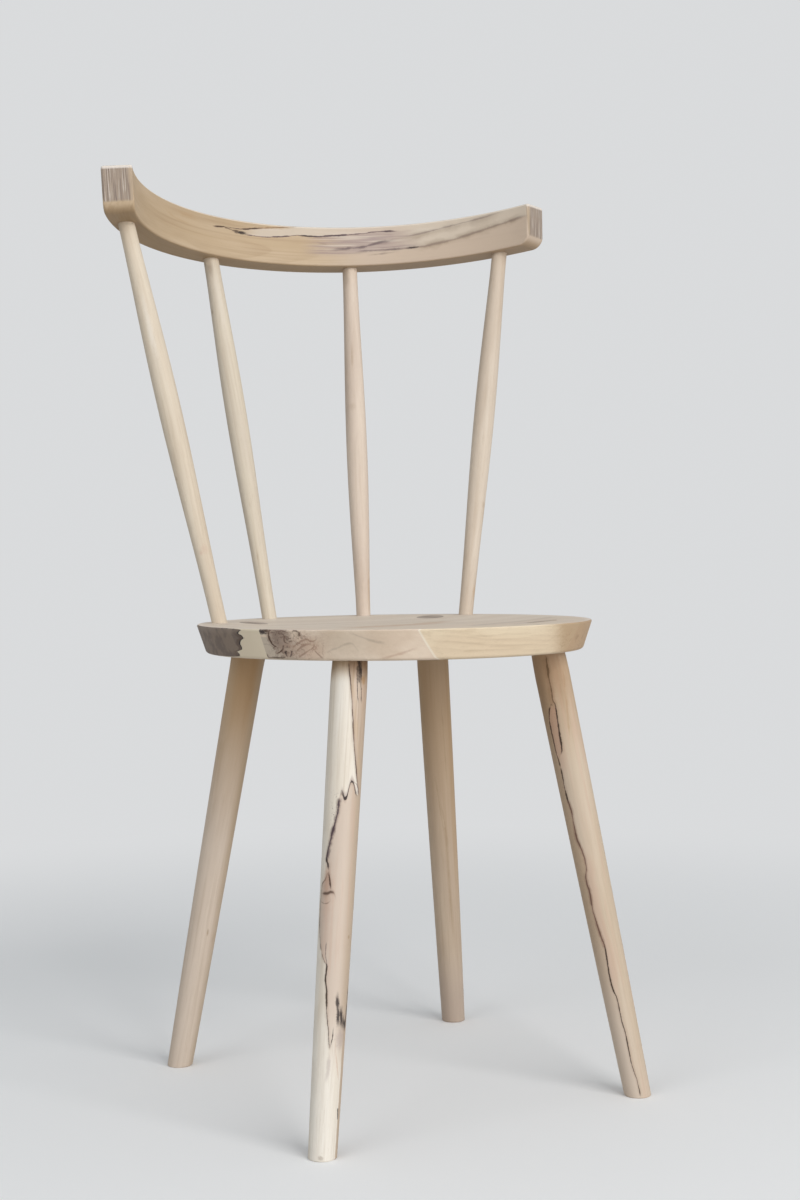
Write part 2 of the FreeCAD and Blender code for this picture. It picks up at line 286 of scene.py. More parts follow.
# %% Plain wood
class Wood(Graph):
    """The material of one piece. Its colour is built up in layers, and each new layer covers
    a share of those under it. spot sends a pixel to its place along and across the piece."""

    def __init__(self, name, spot):
        self.material = bpy.data.materials.new(name)
        super().__init__(self.material)
        self.place = self.node("TexCoord").outputs["Object"]
        self.spot = spot
        self.within = 1.0

    def grow(self, grain, tones, pith, seed, ring_gap=3.6, ring_depth=0.10, bands=0.16):
        """Plain wood on grain coordinates. tones are the pale, middle and dark of the piece,
        and pith is the centre of the tree beside the piece, in millimetres. ring_depth and
        bands are how strongly the rings and the broad bands show."""
        pale, middle, dark = tones
        self.shifted = self.vector("ADD", grain, (seed * 37.0, seed * 53.0, seed * 211.0))
        drift = self.fibres(0.045, 0.0055, detail=3)
        self.colour = self.mix(self.ramp(drift, 0.36, 0.64), pale, middle)
        band = self.fibres(0.32, 0.006, detail=3)
        self.lay(self.ramp(band, 0.50, 0.70, 0.0, bands), dark)
        self.lay(self.ramp(band, 0.50, 0.30, 0.0, bands), pale)

        a, b, along = self.split(grain)
        a = self.math("SUBTRACT", a, pith[0])
        b = self.math("SUBTRACT", b, pith[1])
        radius = self.node("VectorMath", {0: self.join(a, b, 0.0)}, operation="LENGTH")
        ring_waves = 26.0                 # how far the rings stray from circles, in mm
        bend = self.math("MULTIPLY", self.fibres(0.02, 0.004, detail=1), ring_waves)
        radius = self.math("ADD", radius.outputs["Value"], bend)
        ring = self.math("FRACT", self.math("DIVIDE", radius, ring_gap))
        late = self.math("MULTIPLY", self.ramp(ring, 0.2, 0.9), self.ramp(ring, 1.0, 0.92))
        uneven = self.ramp(self.fibres(0.07, 0.015), 0.35, 0.65, 0.2 * ring_depth, ring_depth)
        self.lay(self.math("MULTIPLY", late, uneven), dark)

        fibre = self.fibres(2.6, 0.035, detail=3, roughness=0.65)
        self.lay(self.ramp(fibre, 0.52, 0.78, 0.0, 0.30), dark)
        fleck = self.fibres(1.9, 0.30, detail=1)
        self.lay(self.ramp(fleck, 0.68, 0.80, 0.0, 0.22), dark)

        # for the marks: two noises that make a line ragged, and one that varies its width
        self.fibre = fibre
        self.relief = self.math("MULTIPLY_ADD", late, 2 * ring_depth,
                                self.math("MULTIPLY", fibre, 0.7))
        self.wobble = self.math("SUBTRACT", self.fibres(0.34, 0.18, detail=5, roughness=0.72), 0.5)
        self.grit = self.math("SUBTRACT", self.fibres(1.6, 0.8, detail=2, roughness=0.7), 0.5)
        self.swing = self.ramp(self.fibres(0.10, 0.06), 0.35, 0.65, 0.45, 1.5)

    def fibres(self, across, along, detail=2, roughness=0.5):
        """Noise with this many features a millimetre across the fibres and along them."""
        return self.noise(self.vector("MULTIPLY", self.shifted, (across, across, along)),
                          detail=detail, roughness=roughness)

    def lay(self, share, colour, blend="MIX"):
        """Covers the wood with a colour, by a share that may vary over the piece."""
        self.colour = self.mix(share, self.colour, colour, blend)

    def finish(self, roughness=0.60, relief_depth=0.10 * mm):
        """Joins colour, roughness and relief in one surface, and returns the material."""
        rough = self.ramp(self.fibre, 0.3, 0.8, roughness - 0.05, roughness + 0.1)
        bump = self.node("Bump", {"Height": self.relief, "Distance": relief_depth,
                                  "Strength": 1.0})
        surface = self.node("BsdfPrincipled", {
            "Base Color": self.colour, "Roughness": rough, "IOR": 1.45,
            "Specular IOR Level": 0.3, "Normal": bump.outputs[0]})
        self.node("OutputMaterial", {"Surface": surface.outputs[0]})
        return self.material


# %% [markdown]
# ## Zone lines and stains
#
# Where two colonies of the fungus meet they build a thin dark wall against each other. On a
# piece of the chair such a wall shows as an inky line, often with another tone on its other
# side. A texture painted by hand would do, but a line can also be a formula: a smooth curve
# gives its place across the grain for each place along it, and noise makes it ragged. A point
# is on the line where its distance from the curve is less than half of the line's width. A line
# that runs back and forth across the grain swaps the two directions.
#
# The same distance tells one side from the other, which gives the regions of another tone, and
# farther out it gives the brown stain that soaks into the wood along a line.
#
# Two kinds of figure have no lines to follow: small curls, which are drawn as the level lines
# of a noise, and the wood that the photograph doesn't show, which is cut up into cells.

# %% Marks on the wood
ink = (0.030, 0.021, 0.022)
warm_ink = (0.050, 0.031, 0.022)
brown_ink = (0.085, 0.050, 0.036)
purple_ink = (0.085, 0.055, 0.066)
stain = (0.33, 0.225, 0.175)
grit_reach = 3.0                  # the most that grit may eat into a line, in millimetres


class MarkedWood(Wood):
    """Wood with drawn marks. along and across are sockets in millimetres on the piece."""

    def curve(self, value, knots):
        """The height, at value, of a smooth curve through points (x, y) in the order of x."""
        (left, _), (right, _) = knots[0], knots[-1]
        heights = [height for _, height in knots]
        bottom, spread = min(heights), max(max(heights) - min(heights), 0.01)
        share = self.node("MapRange", {"Value": value, "From Min": left, "From Max": right})
        made = self.node("FloatCurve", {"Value": share.outputs[0]})
        points = made.mapping.curves[0].points
        while len(points) < len(knots):
            points.new(0.5, 0.5)
        for point, (x, height) in zip(points, knots):
            point.location = ((x - left) / (right - left), (height - bottom) / spread)
            point.handle_type = "AUTO_CLAMPED"
        made.mapping.update()
        return self.math("MULTIPLY_ADD", made.outputs[0], spread, bottom)

    def follow(self, pixels, crossing):
        """How far a point is to the right of a line through pixels, or above one that crosses
        the grain, and how far it is from passing the nearer end of the line."""
        spots = [self.spot(pixel) for pixel in pixels]
        run, side = self.along, self.across
        if crossing:
            spots = [(across, along) for along, across in spots]
            run, side = side, run
        spots.sort()
        offset = self.math("SUBTRACT", side, self.curve(run, spots))
        inside = self.math("MINIMUM", self.math("SUBTRACT", run, spots[0][0]),
                           self.math("SUBTRACT", spots[-1][0], run))
        return offset, inside

    def mark(self, share, colour, strength=1.0):
        """Lays a colour by a share, inside the part of the piece that marks are kept to."""
        share = self.math("MULTIPLY", share, strength)
        self.lay(self.math("MULTIPLY", share, self.within), colour)

    def line(self, pixels, width=1.3, colour=ink, strength=0.95, soft=0.3, fade=4.0,
             ragged=1.6, crossing=False, halo=0.0):
        """A zone line of about this width. soft is how far its edge spreads, in millimetres,
        fade the length over which its ends thin out, and halo the depth of the brown stain
        that it has drawn into the wood on both sides."""
        offset, inside = self.follow(pixels, crossing)
        offset = self.math("MULTIPLY_ADD", self.wobble, ragged, offset)
        if halo:
            near = self.ramp(self.math("ABSOLUTE", offset), 1.2 + 1.6 * width, 0.2 * width)
            uneven = self.ramp(self.grit, -0.25, 0.15, 0.55, 1.0)
            self.mark(self.both(near, uneven, self.ramp(inside, -1.0, fade)), stain, halo)
        beyond = self.math("SUBTRACT", self.math("ABSOLUTE", offset),
                           self.math("MULTIPLY", self.swing, width / 2))
        beyond = self.math("MULTIPLY_ADD", self.grit, min(0.9 * width, grit_reach), beyond)
        share = self.math("MULTIPLY", self.ramp(beyond, soft, -soft),
                          self.ramp(inside, -0.5, fade))
        self.mark(share, colour, strength)

    def lines(self, named):
        """Draws lines one after the other. named gives each its pixels and its look."""
        for pixels, look in named.values():
            self.line(pixels, **look)

    def beside(self, pixels, soft=0.5, ragged=1.6, crossing=False):
        """The share 1 to the right of a line through pixels, or above one that crosses."""
        offset = self.follow(pixels, crossing)[0]
        offset = self.math("MULTIPLY_ADD", self.wobble, ragged, offset)
        return self.ramp(offset, -soft, soft)

    def patch(self, pixel, length, width, soft=0.35, ragged=1.4):
        """The share 1 on an oval of this length along the grain and width across it, in
        millimetres. A point's distance from the middle is counted in half sizes of the oval."""
        along, across = self.spot(pixel)
        a = self.math("DIVIDE", self.math("SUBTRACT", self.along, along), length / 2)
        b = self.math("DIVIDE", self.math("SUBTRACT", self.across, across), width / 2)
        size = self.node("VectorMath", {0: self.join(a, b, 0.0)}, operation="LENGTH")
        size = self.math("MULTIPLY_ADD", self.wobble, ragged, size.outputs["Value"])
        size = self.math("MULTIPLY_ADD", self.grit, 0.8, size)
        return self.ramp(size, 1.1 + soft, 0.9 - 1.6 * soft)

    def blot(self, pixel, length, width, colour, strength=0.8, soft=0.35, ragged=1.4):
        """Colours a patch."""
        self.mark(self.patch(pixel, length, width, soft, ragged), colour, strength)

    def blots(self, named):
        """Colours patches one after the other. named gives for each the pixel, length, width,
        colour and strength, and then perhaps how soft and how ragged it is."""
        for look in named.values():
            self.blot(*look)

    def veins(self, share, colour, size=8.0, width=0.05, strength=0.8):
        """Curling lines, as where small colonies crowd together: the level lines of a noise,
        on a place that another noise has bent. size is the scale of the curls in mm."""
        bent_across, bent_along = 2.4, 1.8        # in sizes
        levels = 5.0
        place = self.vector("MULTIPLY", self.shifted, (1 / size, 1 / size, 1 / size))
        bent = self.vector("ADD", place, self.join(
            self.math("MULTIPLY", self.noise(place, detail=2), bent_across), 0.0,
            self.math("MULTIPLY", self.wobble, bent_along)))
        level = self.math("FRACT", self.math("MULTIPLY", self.noise(bent, detail=1), levels))
        beyond = self.math("SUBTRACT", self.math("ABSOLUTE", self.math("SUBTRACT", level, 0.5)),
                           self.math("MULTIPLY", self.swing, width))
        drawn = self.both(self.ramp(beyond, 0.06, -0.02), self.ramp(self.grit, -0.22, 0.02))
        self.mark(self.math("MULTIPLY", drawn, share), colour, strength)

    def from_to(self, start, end):
        """Rises from 0 to 1 along the grain, from one pixel to another."""
        return self.ramp(self.along, self.spot(start)[0], self.spot(end)[0])

    def both(self, *shares):
        """The product of several shares, which is their overlap."""
        product = shares[0]
        for share in shares[1:]:
            product = self.math("MULTIPLY", product, share)
        return product

    def without(self, share):
        """1 where the share is 0, and the other way round."""
        return self.math("SUBTRACT", 1.0, share)

    def pepper(self, share, colour, cell=1.1, strength=0.8):
        """Tiny dots, as where a zone wall is cut at a flat angle."""
        spread = self.vector("MULTIPLY", self.shifted, (1 / cell, 1 / cell, 0.6 / cell))
        near = self.node("TexVoronoi", {"Vector": spread, "Scale": 1.0, "Randomness": 1.0})
        some = self.ramp(self.grit, -0.05, 0.12)
        dots = self.math("MULTIPLY", self.ramp(near.outputs["Distance"], 0.42, 0.15), some)
        self.mark(self.math("MULTIPLY", dots, share), colour, strength)

    def colonies(self, share, size=26.0, stretch=5.0, tones=(), strength=0.8):
        """Spalting for wood that the photograph does not show: each cell of a warped Voronoi
        pattern is one colony with its own tone, and a thin dark wall runs between cells."""
        warped_across, warped_along = 46.0, 34.0  # in millimetres
        tone_strength, tone_edge = 0.38, 0.02
        half_wall, wall_soft = 0.012, 0.012       # in cells
        warp = self.fibres(0.07, 0.022, detail=4)
        warped = self.vector("ADD", self.shifted,
                             self.join(self.math("MULTIPLY", warp, warped_across), 0.0,
                                       self.math("MULTIPLY", self.wobble, warped_along)))
        cells = self.vector("MULTIPLY", warped, (1 / size, 1 / size, 1 / (size * stretch)))
        tone = self.node("TexVoronoi", {"Vector": cells, "Scale": 1.0}).outputs["Color"]
        pick = self.split(tone)[0]
        for order, colour in enumerate(tones):
            low = 0.45 + 0.5 * order / len(tones)
            chosen = self.ramp(pick, low, low + tone_edge)
            self.mark(self.math("MULTIPLY", chosen, share), colour, tone_strength)
        wall = self.node("TexVoronoi", {"Vector": cells, "Scale": 1.0},
                         feature="DISTANCE_TO_EDGE").outputs["Distance"]
        thin = self.math("MULTIPLY", self.swing, half_wall)
        drawn = self.ramp(self.math("SUBTRACT", wall, thin), wall_soft, -wall_soft / 3)
        self.mark(self.math("MULTIPLY", drawn, share), ink, strength)


# %% [markdown]
# ## The legs and spindles as round sticks
#
# A leg was split and shaved from one billet, so its fibres follow its axis. The axis is read
# from the frame: the node is cut at two levels, and the middle of each cut lies on it. The
# stick's own coordinates have Z along that axis and -Y turned to the camera, so the angle round
# the stick is 0 where we look straight at it, and the seam at 180 degrees is on the far side.
# Across the grain the marks use that angle times one round number for the radius.

# %% Sticks
def level_middle(name, height):
    """The middle of the cut through a node at a height, all in metres."""
    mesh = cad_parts[name].data
    corners = np.empty(3 * len(mesh.vertices))
    mesh.vertices.foreach_get("co", corners)
    edges = np.empty(2 * len(mesh.edges), int)
    mesh.edges.foreach_get("vertices", edges)
    ends = corners.reshape(-1, 3)[edges.reshape(-1, 2)]
    low, high = ends[:, 0, 2] - height, ends[:, 1, 2] - height
    crossing = low * high < 0
    share = (low / np.where(crossing, low - high, 1))[crossing, None]
    cut = ends[crossing, 0] + share * (ends[crossing, 1] - ends[crossing, 0])
    return Vector((cut.min(0) + cut.max(0)) / 2)


def dress(name, material):
    """Gives a node of the frame its finish."""
    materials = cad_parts[name].data.materials
    materials.clear()
    materials.append(material)


class Stick:
    """A round piece: its axis, its own coordinates and its surface for rays."""

    def __init__(self, name, low, high, radius):
        self.name = name
        self.radius = radius
        bottom, top = level_middle(name, low), level_middle(name, high)
        self.axis = (top - bottom).normalized()
        floor_z, ceiling_z = (corner.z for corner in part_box(name))
        self.foot = bottom - self.axis * (bottom.z - floor_z) / self.axis.z
        self.length = (ceiling_z - floor_z) / self.axis.z / mm
        away = bottom - camera_place
        back = (away - self.axis * away.dot(self.axis)).normalized()
        self.turned = Matrix((back.cross(self.axis), back, self.axis)).transposed()
        self.surface = surface_of(name)

    def spot(self, pixel):
        """Where a pixel lies: millimetres along the stick, and round it from the camera."""
        local = self.turned.transposed() @ (seen_at(self.surface, pixel) - self.foot) / mm
        return local.z, math.atan2(local.x, -local.y) * self.radius

    def wood(self, tones, pith, seed, **look):
        """Plain wood for this stick, with its grain along the axis."""
        made = MarkedWood("wood of " + self.name.replace("_", " "), self.spot)
        grain = made.node("Mapping", {"Vector": made.place, "Location": self.foot,
                                      "Rotation": self.turned.to_euler(),
                                      "Scale": (mm, mm, mm)}, vector_type="TEXTURE")
        x, y, made.along = made.split(grain.outputs[0])
        turn = made.math("ARCTAN2", x, made.math("MULTIPLY", y, -1.0))
        made.across = made.math("MULTIPLY", turn, self.radius)
        made.away = made.ramp(made.math("ABSOLUTE", turn), 1.65, 2.0)
        made.grow(grain.outputs[0], tones, pith, seed, **look)
        return made


legs = {end + "_" + side: Stick(f"leg_{end}_{side}", 0.02, 0.39, radius=15.0)
        for end in ("front", "rear") for side in ("left", "right")}
spindles = {place: Stick("spindle_" + place, 0.46, 0.80, radius=9.0)
            for place in ("outer_left", "inner_left", "inner_right", "outer_right")}
for stick in (*legs.values(), *spindles.values()):
    lean = math.degrees(math.acos(stick.axis.z))
    print(f"{stick.name}: {stick.length:.0f} mm long, leaning {lean:.1f} degrees")

# %% [markdown]
# ## The palette
#
# Each tone was matched to the photograph where the light falls straight on the wood. Cream
# and bone are the bleached parts, the tans are plain wood, and the browns and the greys are
# stains. A tone that only one piece has is written where it is used.

# %% Tones
# brown, amber and warm tan also serve as painted shade under the seat and the rail
cream = (0.83, 0.79, 0.72)
bone = (0.75, 0.69, 0.60)
pink_tan = (0.61, 0.51, 0.43)
warm_tan = (0.56, 0.43, 0.29)
amber = (0.44, 0.29, 0.16)
brown = (0.36, 0.25, 0.15)
blush = (0.58, 0.40, 0.31)
grey_brown = (0.30, 0.24, 0.19)
grey_purple = (0.34, 0.27, 0.27)
red_ink = (0.26, 0.15, 0.11)
smoke = (0.33, 0.25, 0.18)
tenon_end = (0.43, 0.36, 0.31)

# %% [markdown]
# ## Front left leg
#
# This leg carries the chair's boldest mark. A thin brown line comes down from the seat, a ragged
# black step crosses the leg, and from its left end the line wanders on to the floor. The wood
# left of it is bleached to cream, and right of it has a pink tan tone. The lists are pixels of
# the photograph, from the top down or from left to right. First come the lines' places and the
# tones on both sides of them.

# %% Front left leg, tones
flank_brown = (0.42, 0.32, 0.22)
fibre_brown = (0.42, 0.30, 0.22)
leg = legs["front_left"]
wood = leg.wood((cream, bone, brown), pith=(70, 40), seed=3)
upper_line = [(348.4, 661.6), (349.9, 675.3), (351, 685.4), (352.5, 710.7), (354.2, 746),
              (356, 766.3), (357, 779.4), (358.3, 790)]
step_line = [(339.4, 797.6), (341.3, 792.5), (345.4, 798.6), (351.7, 781.4), (356, 793.6),
             (357.4, 795)]
lower_line = [(339.2, 797.6), (338.1, 810), (336.1, 819), (333, 829.3), (330, 842.5),
              (326.6, 859.7), (327.9, 864), (328.5, 870.8), (325, 879.9), (321.9, 886),
              (320.3, 906), (319.6, 926.4), (320.2, 941.6), (321.2, 951.7), (324.4, 961.8),
              (326.8, 966.9), (325.4, 978), (326.4, 989.3), (326.6, 1006),
              (327, 1017.4), (328, 1028.7), (329.5, 1050)]
pepper_edge = [(331.5, 790), (328, 840), (319, 870)]
foot_bleached, foot_pink = (333, 1085), (333, 1000)
blushes = {"long": ((326.8, 898), 52, 10, blush, 0.55, 0.6),
           "short": ((327.4, 879), 17, 5, blush, 0.7)}
right_of_line = wood.beside(upper_line)
under_step = wood.both(wood.without(wood.beside(step_line, crossing=True)),
                       wood.beside(lower_line))
foot_fade = wood.from_to(foot_bleached, foot_pink)
pink_side = wood.math("MAXIMUM", right_of_line, wood.both(under_step, foot_fade))
wood.mark(pink_side, pink_tan, 0.95)
wood.mark(wood.both(pink_side, wood.ramp(wood.across, 4.0, 16.0)), flank_brown, 0.60)
wood.mark(wood.both(pink_side, wood.ramp(wood.fibres(0.22, 0.012), 0.50, 0.66)), blush, 0.30)
wood.blots(blushes)
near_line = wood.both(wood.beside(pepper_edge, soft=2.0),
                      wood.without(wood.beside(lower_line)), wood.from_to((333, 860), (336, 830)),
                      wood.from_to((334, 782), (334, 796)))
wood.pepper(near_line, purple_ink, strength=0.75)
print("tones on", leg.name)

# %% [markdown]
# Now the lines. Where a wall met the surface at a flat angle it is drawn wide and grey under the
# thin black line.

# %% Front left leg, lines
wood.line(upper_line, width=1.0, colour=brown_ink, ragged=0.9, halo=0.45)
strip = wood.both(right_of_line, wood.from_to((354, 800), (350, 720)))
wood.mark(wood.both(strip, wood.ramp(wood.fibres(0.5, 0.02), 0.50, 0.62)), fibre_brown, 0.5)
warm_strip = [(352.5, 664), (354.5, 700), (357.5, 745), (359.5, 780)]
step_end = [(353, 781), (357.6, 786.5), (358.4, 796)]
above_step = [(x, y - 2.5) for x, y in step_line]
wood.lines({
    "warm strip": (warm_strip, dict(width=2.6, colour=warm_tan, strength=0.55, soft=1.6,
                                    fade=12.0, ragged=3.0)),
    "upper third": (lower_line[:8], dict(width=1.5, colour=ink, ragged=2.0, halo=0.45)),
    "middle third": (lower_line[7:14], dict(width=0.9, colour=brown_ink, strength=0.85,
                                            ragged=2.0, halo=0.25)),
    "lower third": (lower_line[13:], dict(width=1.2, colour=warm_ink, ragged=2.0, halo=0.30)),
    "flat wall": (lower_line[:6], dict(width=3.4, colour=purple_ink, strength=0.75, soft=1.2,
                                       ragged=3.0)),
    "shade above the step": (above_step, dict(width=4.0, colour=grey_purple, strength=0.40,
                                              soft=2.6, ragged=3.0, crossing=True)),
    "step": (step_line, dict(width=2.7, colour=ink, ragged=2.4, crossing=True, halo=0.45)),
    "end of the step": (step_end, dict(width=2.0, colour=purple_ink, strength=0.7))})
print("lines on", leg.name)

# %% [markdown]
# Last come the small marks: side branches of the line, dark flames that rise from a grey patch
# near the foot, knots under the seat, and the seat's shadow painted on the top of the leg.

# %% Front left leg, small marks
red_brown = (0.42, 0.27, 0.20)
painted_seat_shadow = (0.62, 0.50, 0.38)
branches = {
    "downward": ([(328.5, 870.8), (329.5, 879), (331, 890)],
                 dict(width=1.1, colour=brown_ink, halo=0.4)),
    "across": ([(321.5, 893), (326, 893.6), (331.5, 892), (336, 898)],
               dict(width=1.5, colour=brown_ink, strength=0.85, soft=0.8, crossing=True,
                    halo=0.5)),
    "faint one across": ([(320.5, 901), (325.5, 903.5), (331, 900)],
                         dict(width=1.0, colour=brown_ink, strength=0.5, crossing=True)),
    "beside the line": ([(326.5, 941.6), (325.5, 951.7), (326.5, 961.8), (326.9, 967.8)],
                        dict(width=1.0, colour=purple_ink, strength=0.7)),
    "up at the foot": ([(329.5, 1050), (332, 1040), (333.7, 1026)],
                       dict(width=1.3, colour=ink, fade=8.0)),
    "down at the foot": ([(329.5, 1050), (328.7, 1062), (325.8, 1085)],
                         dict(width=2.4, colour=grey_purple, strength=0.35, soft=1.0,
                              fade=10.0))}
flame_look = dict(width=2.9, colour=ink, strength=0.92, soft=0.9, fade=9.0, ragged=3.0)
flames = {
    "left": ([(337.4, 990), (338.4, 1029)], flame_look),
    "middle": ([(340.6, 1004), (341.8, 1031)], flame_look),
    "right": ([(343.4, 1012), (344.2, 1033)], flame_look),
    "thin": ([(349.4, 985), (346.6, 1006), (344.4, 1032)], dict(width=1.5, colour=ink, fade=6.0))}
under_flames = [(334.5, 1036), (336.5, 1060), (338.5, 1082)]
tails = {
    "left": ([(357.4, 664), (357.2, 680), (358.2, 704)], dict(width=1.1, colour=ink, fade=8.0)),
    "right": ([(361.2, 664), (361, 682), (361.4, 704)], dict(width=1.3, colour=ink, fade=8.0))}
knots = {
    "warm one under the seat": ((363.6, 680), 9, 5, amber, 0.85),
    "tiny one": ((348.7, 937), 3.0, 2.4, brown, 0.6),
    # painted shadow of the seat, not a knot: a faint brown blot at the top of the leg
    "painted shadow under the seat": ((333, 669), 16, 7, brown, 0.35, 0.7)}
nick = [(337.7, 1108), (337.6, 1120)]
wood.blot((326.5, 884), 26, 8.5, red_brown, 0.50, soft=0.6)
wood.lines(branches)
wood.lines(flames)
wood.blot((340.2, 1038.5), 17, 10, grey_purple, 0.40, soft=0.3)
wood.line(under_flames, width=0.9, colour=blush, strength=0.5)
wood.blot((359.6, 668.5), 22, 4.6, ink, 0.92, soft=0.4, ragged=2.6)
wood.lines(tails)
wood.blots(knots)
wood.line(nick, width=1.5, colour=ink, ragged=0.3, fade=1.5)
wood.blot((320.5, 1158.5), 4, 5, grey_brown, 0.5)
wood.colonies(wood.away, tones=(pink_tan, grey_purple))
# painted shadow of the seat: the top of the leg is darkened by multiplying
wood.lay(wood.from_to((340, 684), (340, 661)), painted_seat_shadow, "MULTIPLY")
dress(leg.name, wood.finish())
print("marks on", leg.name)

# %% [markdown]
# ## Front right leg
#
# Here one wall runs the whole height. Near the top it splits and closes again, round a narrow
# pocket of pinkish brown. The side left of it is a duller brown, and right of it the wood is
# paler, with a faint blush beside the line.

# %% Front right leg
pale_tone, middle_tone = (0.61, 0.51, 0.41), (0.56, 0.46, 0.35)
dull_brown = (0.49, 0.37, 0.26)
bleached = (0.66, 0.57, 0.49)
painted_seat_shadow = (0.80, 0.70, 0.60)
leg = legs["front_right"]
wood = leg.wood((pale_tone, middle_tone, brown), pith=(40, 60), seed=5)
upper_line = [(545.7, 655.3), (547.2, 666), (549.1, 678.2), (551.4, 690.5), (552.9, 699.7),
              (555.5, 705.8), (557, 716.5), (558.3, 725.7), (560.1, 737.9), (561.6, 747.1),
              (560.8, 755)]
pocket_line = [(552.9, 707.3), (549.8, 706.8), (549.1, 713.4), (550.3, 725.7), (552.9, 737.9),
               (555.5, 750.2), (558.3, 759.3), (560.5, 767)]
lower_line = [(560.8, 755), (560.5, 767), (562.8, 777.7), (564.4, 786.9), (567.4, 799.1),
              (571.3, 811.4), (573.5, 822.1), (575.8, 834.3), (578.9, 843.5), (582.7, 852.7),
              (585, 860.3), (586.3, 869.6), (586.5, 882.3), (589.5, 891.9), (591.9, 906.2),
              (595.9, 920.6), (602.2, 939.7), (605.4, 949.3), (607.8, 965.2), (611, 982.7),
              (617.4, 1000.3), (621.4, 1019.4), (626.2, 1036.9), (630.1, 1057.7),
              (634.1, 1072), (638.1, 1084.8), (640.5, 1096.7)]
pocket_top = [(549.6, 707.5), (551.5, 704.8), (554.5, 708)]
left_side = wood.without(wood.beside(upper_line + lower_line[1:]))
wood.mark(left_side, dull_brown, 0.85)
pocket = wood.both(left_side, wood.beside(pocket_line[1:]),
                   wood.from_to((556, 775), (556, 745)), wood.from_to((553, 702), (553, 712)))
wood.mark(pocket, blush, 0.75)
beside_line = wood.both(wood.without(left_side),
                        wood.without(wood.beside([(x + 9, y) for x, y in lower_line],
                                                 soft=3.0)))
wood.mark(wood.both(beside_line, wood.ramp(wood.fibres(0.05, 0.010), 0.44, 0.58)), blush, 0.42)
wood.mark(wood.both(wood.without(left_side), wood.ramp(wood.fibres(0.25, 0.012), 0.52, 0.68)),
          blush, 0.28)
wood.blot((556, 668), 46, 14, brown, 0.50, soft=0.8)
wood.mark(wood.both(left_side, wood.from_to((585, 900), (625, 1060))), bleached, 0.75)
wood.pepper(wood.both(left_side, wood.from_to((590, 985), (590, 940))), brown_ink, strength=0.30)
wood.line(upper_line, width=1.4, colour=warm_ink, ragged=1.6, halo=0.4)
wood.line(upper_line[:6], width=4.4, colour=brown, strength=0.45, soft=1.8)
wood.line(pocket_line[1:], width=1.3, colour=brown_ink, ragged=1.2, fade=2.0)
wood.line(pocket_top, width=1.2, colour=brown_ink, strength=0.7, crossing=True)
wood.line(lower_line[1:], width=1.15, colour=warm_ink, ragged=1.6, halo=0.35)
wood.line(lower_line[4:18], width=2.8, colour=red_ink, strength=0.50, soft=1.2, ragged=2.8)
amber_grain = {(562, 662): (566, 700), (565.5, 690): (570, 742)}
for start, end in amber_grain.items():
    wood.line([start, end], width=1.3, colour=amber, strength=0.45, soft=0.8, fade=12.0)
wood.colonies(wood.away, tones=(cream, grey_purple, pink_tan))
# painted shadow of the seat: the top of the leg is darkened by multiplying
wood.lay(wood.from_to((555, 780), (555, 660)), painted_seat_shadow, "MULTIPLY")
dress(leg.name, wood.finish())
print("marks on", leg.name)

# %% [markdown]
# ## Rear legs
#
# The rear legs are quiet: plain wood, painted warmer and much browner towards the seat as the
# seat's shade, a few small knots on the left one and long faint grain lines on the right one.
# Their tenons come through the seat, and the cut ends are greyer than the wood around them.

# %% Rear legs
def tenon_from(leg):
    """Where along a leg its end turns grey, inside the hole in the seat."""
    return leg.length - 9.0, leg.length - 7.0


painted_seat_shade = (0.44, 0.28, 0.13)
deeper_painted_shade = (0.44, 0.26, 0.11)
flank_brown = (0.44, 0.34, 0.24)
knots = {"left": ((207.6, 932.5), 7, 2.2, brown, 0.55),
         "middle": ((217, 938), 11, 8, brown, 0.24, 0.6)}
knot_crack = [(214, 936.2), (217.6, 935.6), (220.6, 936.6)]
streaks = {"below the knots": ((214.4, 981), 22, 3.0, brown, 0.30, 0.7),
           "under the seat": ((250.6, 695), 10, 3.0, amber, 0.5)}
leg = legs["rear_left"]
wood = leg.wood(((0.68, 0.58, 0.49), (0.61, 0.51, 0.42), brown), pith=(60, 45), seed=11)
# painted shade of the seat: browner towards the top, and deeper still near the seat
wood.mark(wood.from_to((220, 850), (240, 690)), painted_seat_shade, 0.66)
wood.mark(wood.both(wood.from_to((220, 760), (245, 670)), wood.ramp(wood.across, -16, -4)),
          deeper_painted_shade, 0.50)
wood.mark(wood.both(wood.ramp(wood.across, 7, 17), wood.from_to((205, 960), (235, 800))),
          warm_tan, 0.60)
wood.mark(wood.ramp(wood.across, 6, 18), flank_brown, 0.60)
wood.blots(knots)
wood.line(knot_crack, width=1.0, colour=brown, strength=0.55, crossing=True)
wood.blots(streaks)
wood.mark(wood.ramp(wood.along, *tenon_from(leg)), tenon_end, 0.85)
dress(leg.name, wood.finish())

painted_seat_shade = (0.44, 0.28, 0.14)
foot_grey = (0.47, 0.38, 0.33)
grain_lines = {(434, 770): (446, 845), (438.5, 790): (449, 850),
               (444, 810): (452.5, 930), (441, 700): (447.5, 790)}
leg = legs["rear_right"]
wood = leg.wood(((0.60, 0.49, 0.38), (0.54, 0.43, 0.33), brown), pith=(50, 70), seed=21,
                bands=0.22)
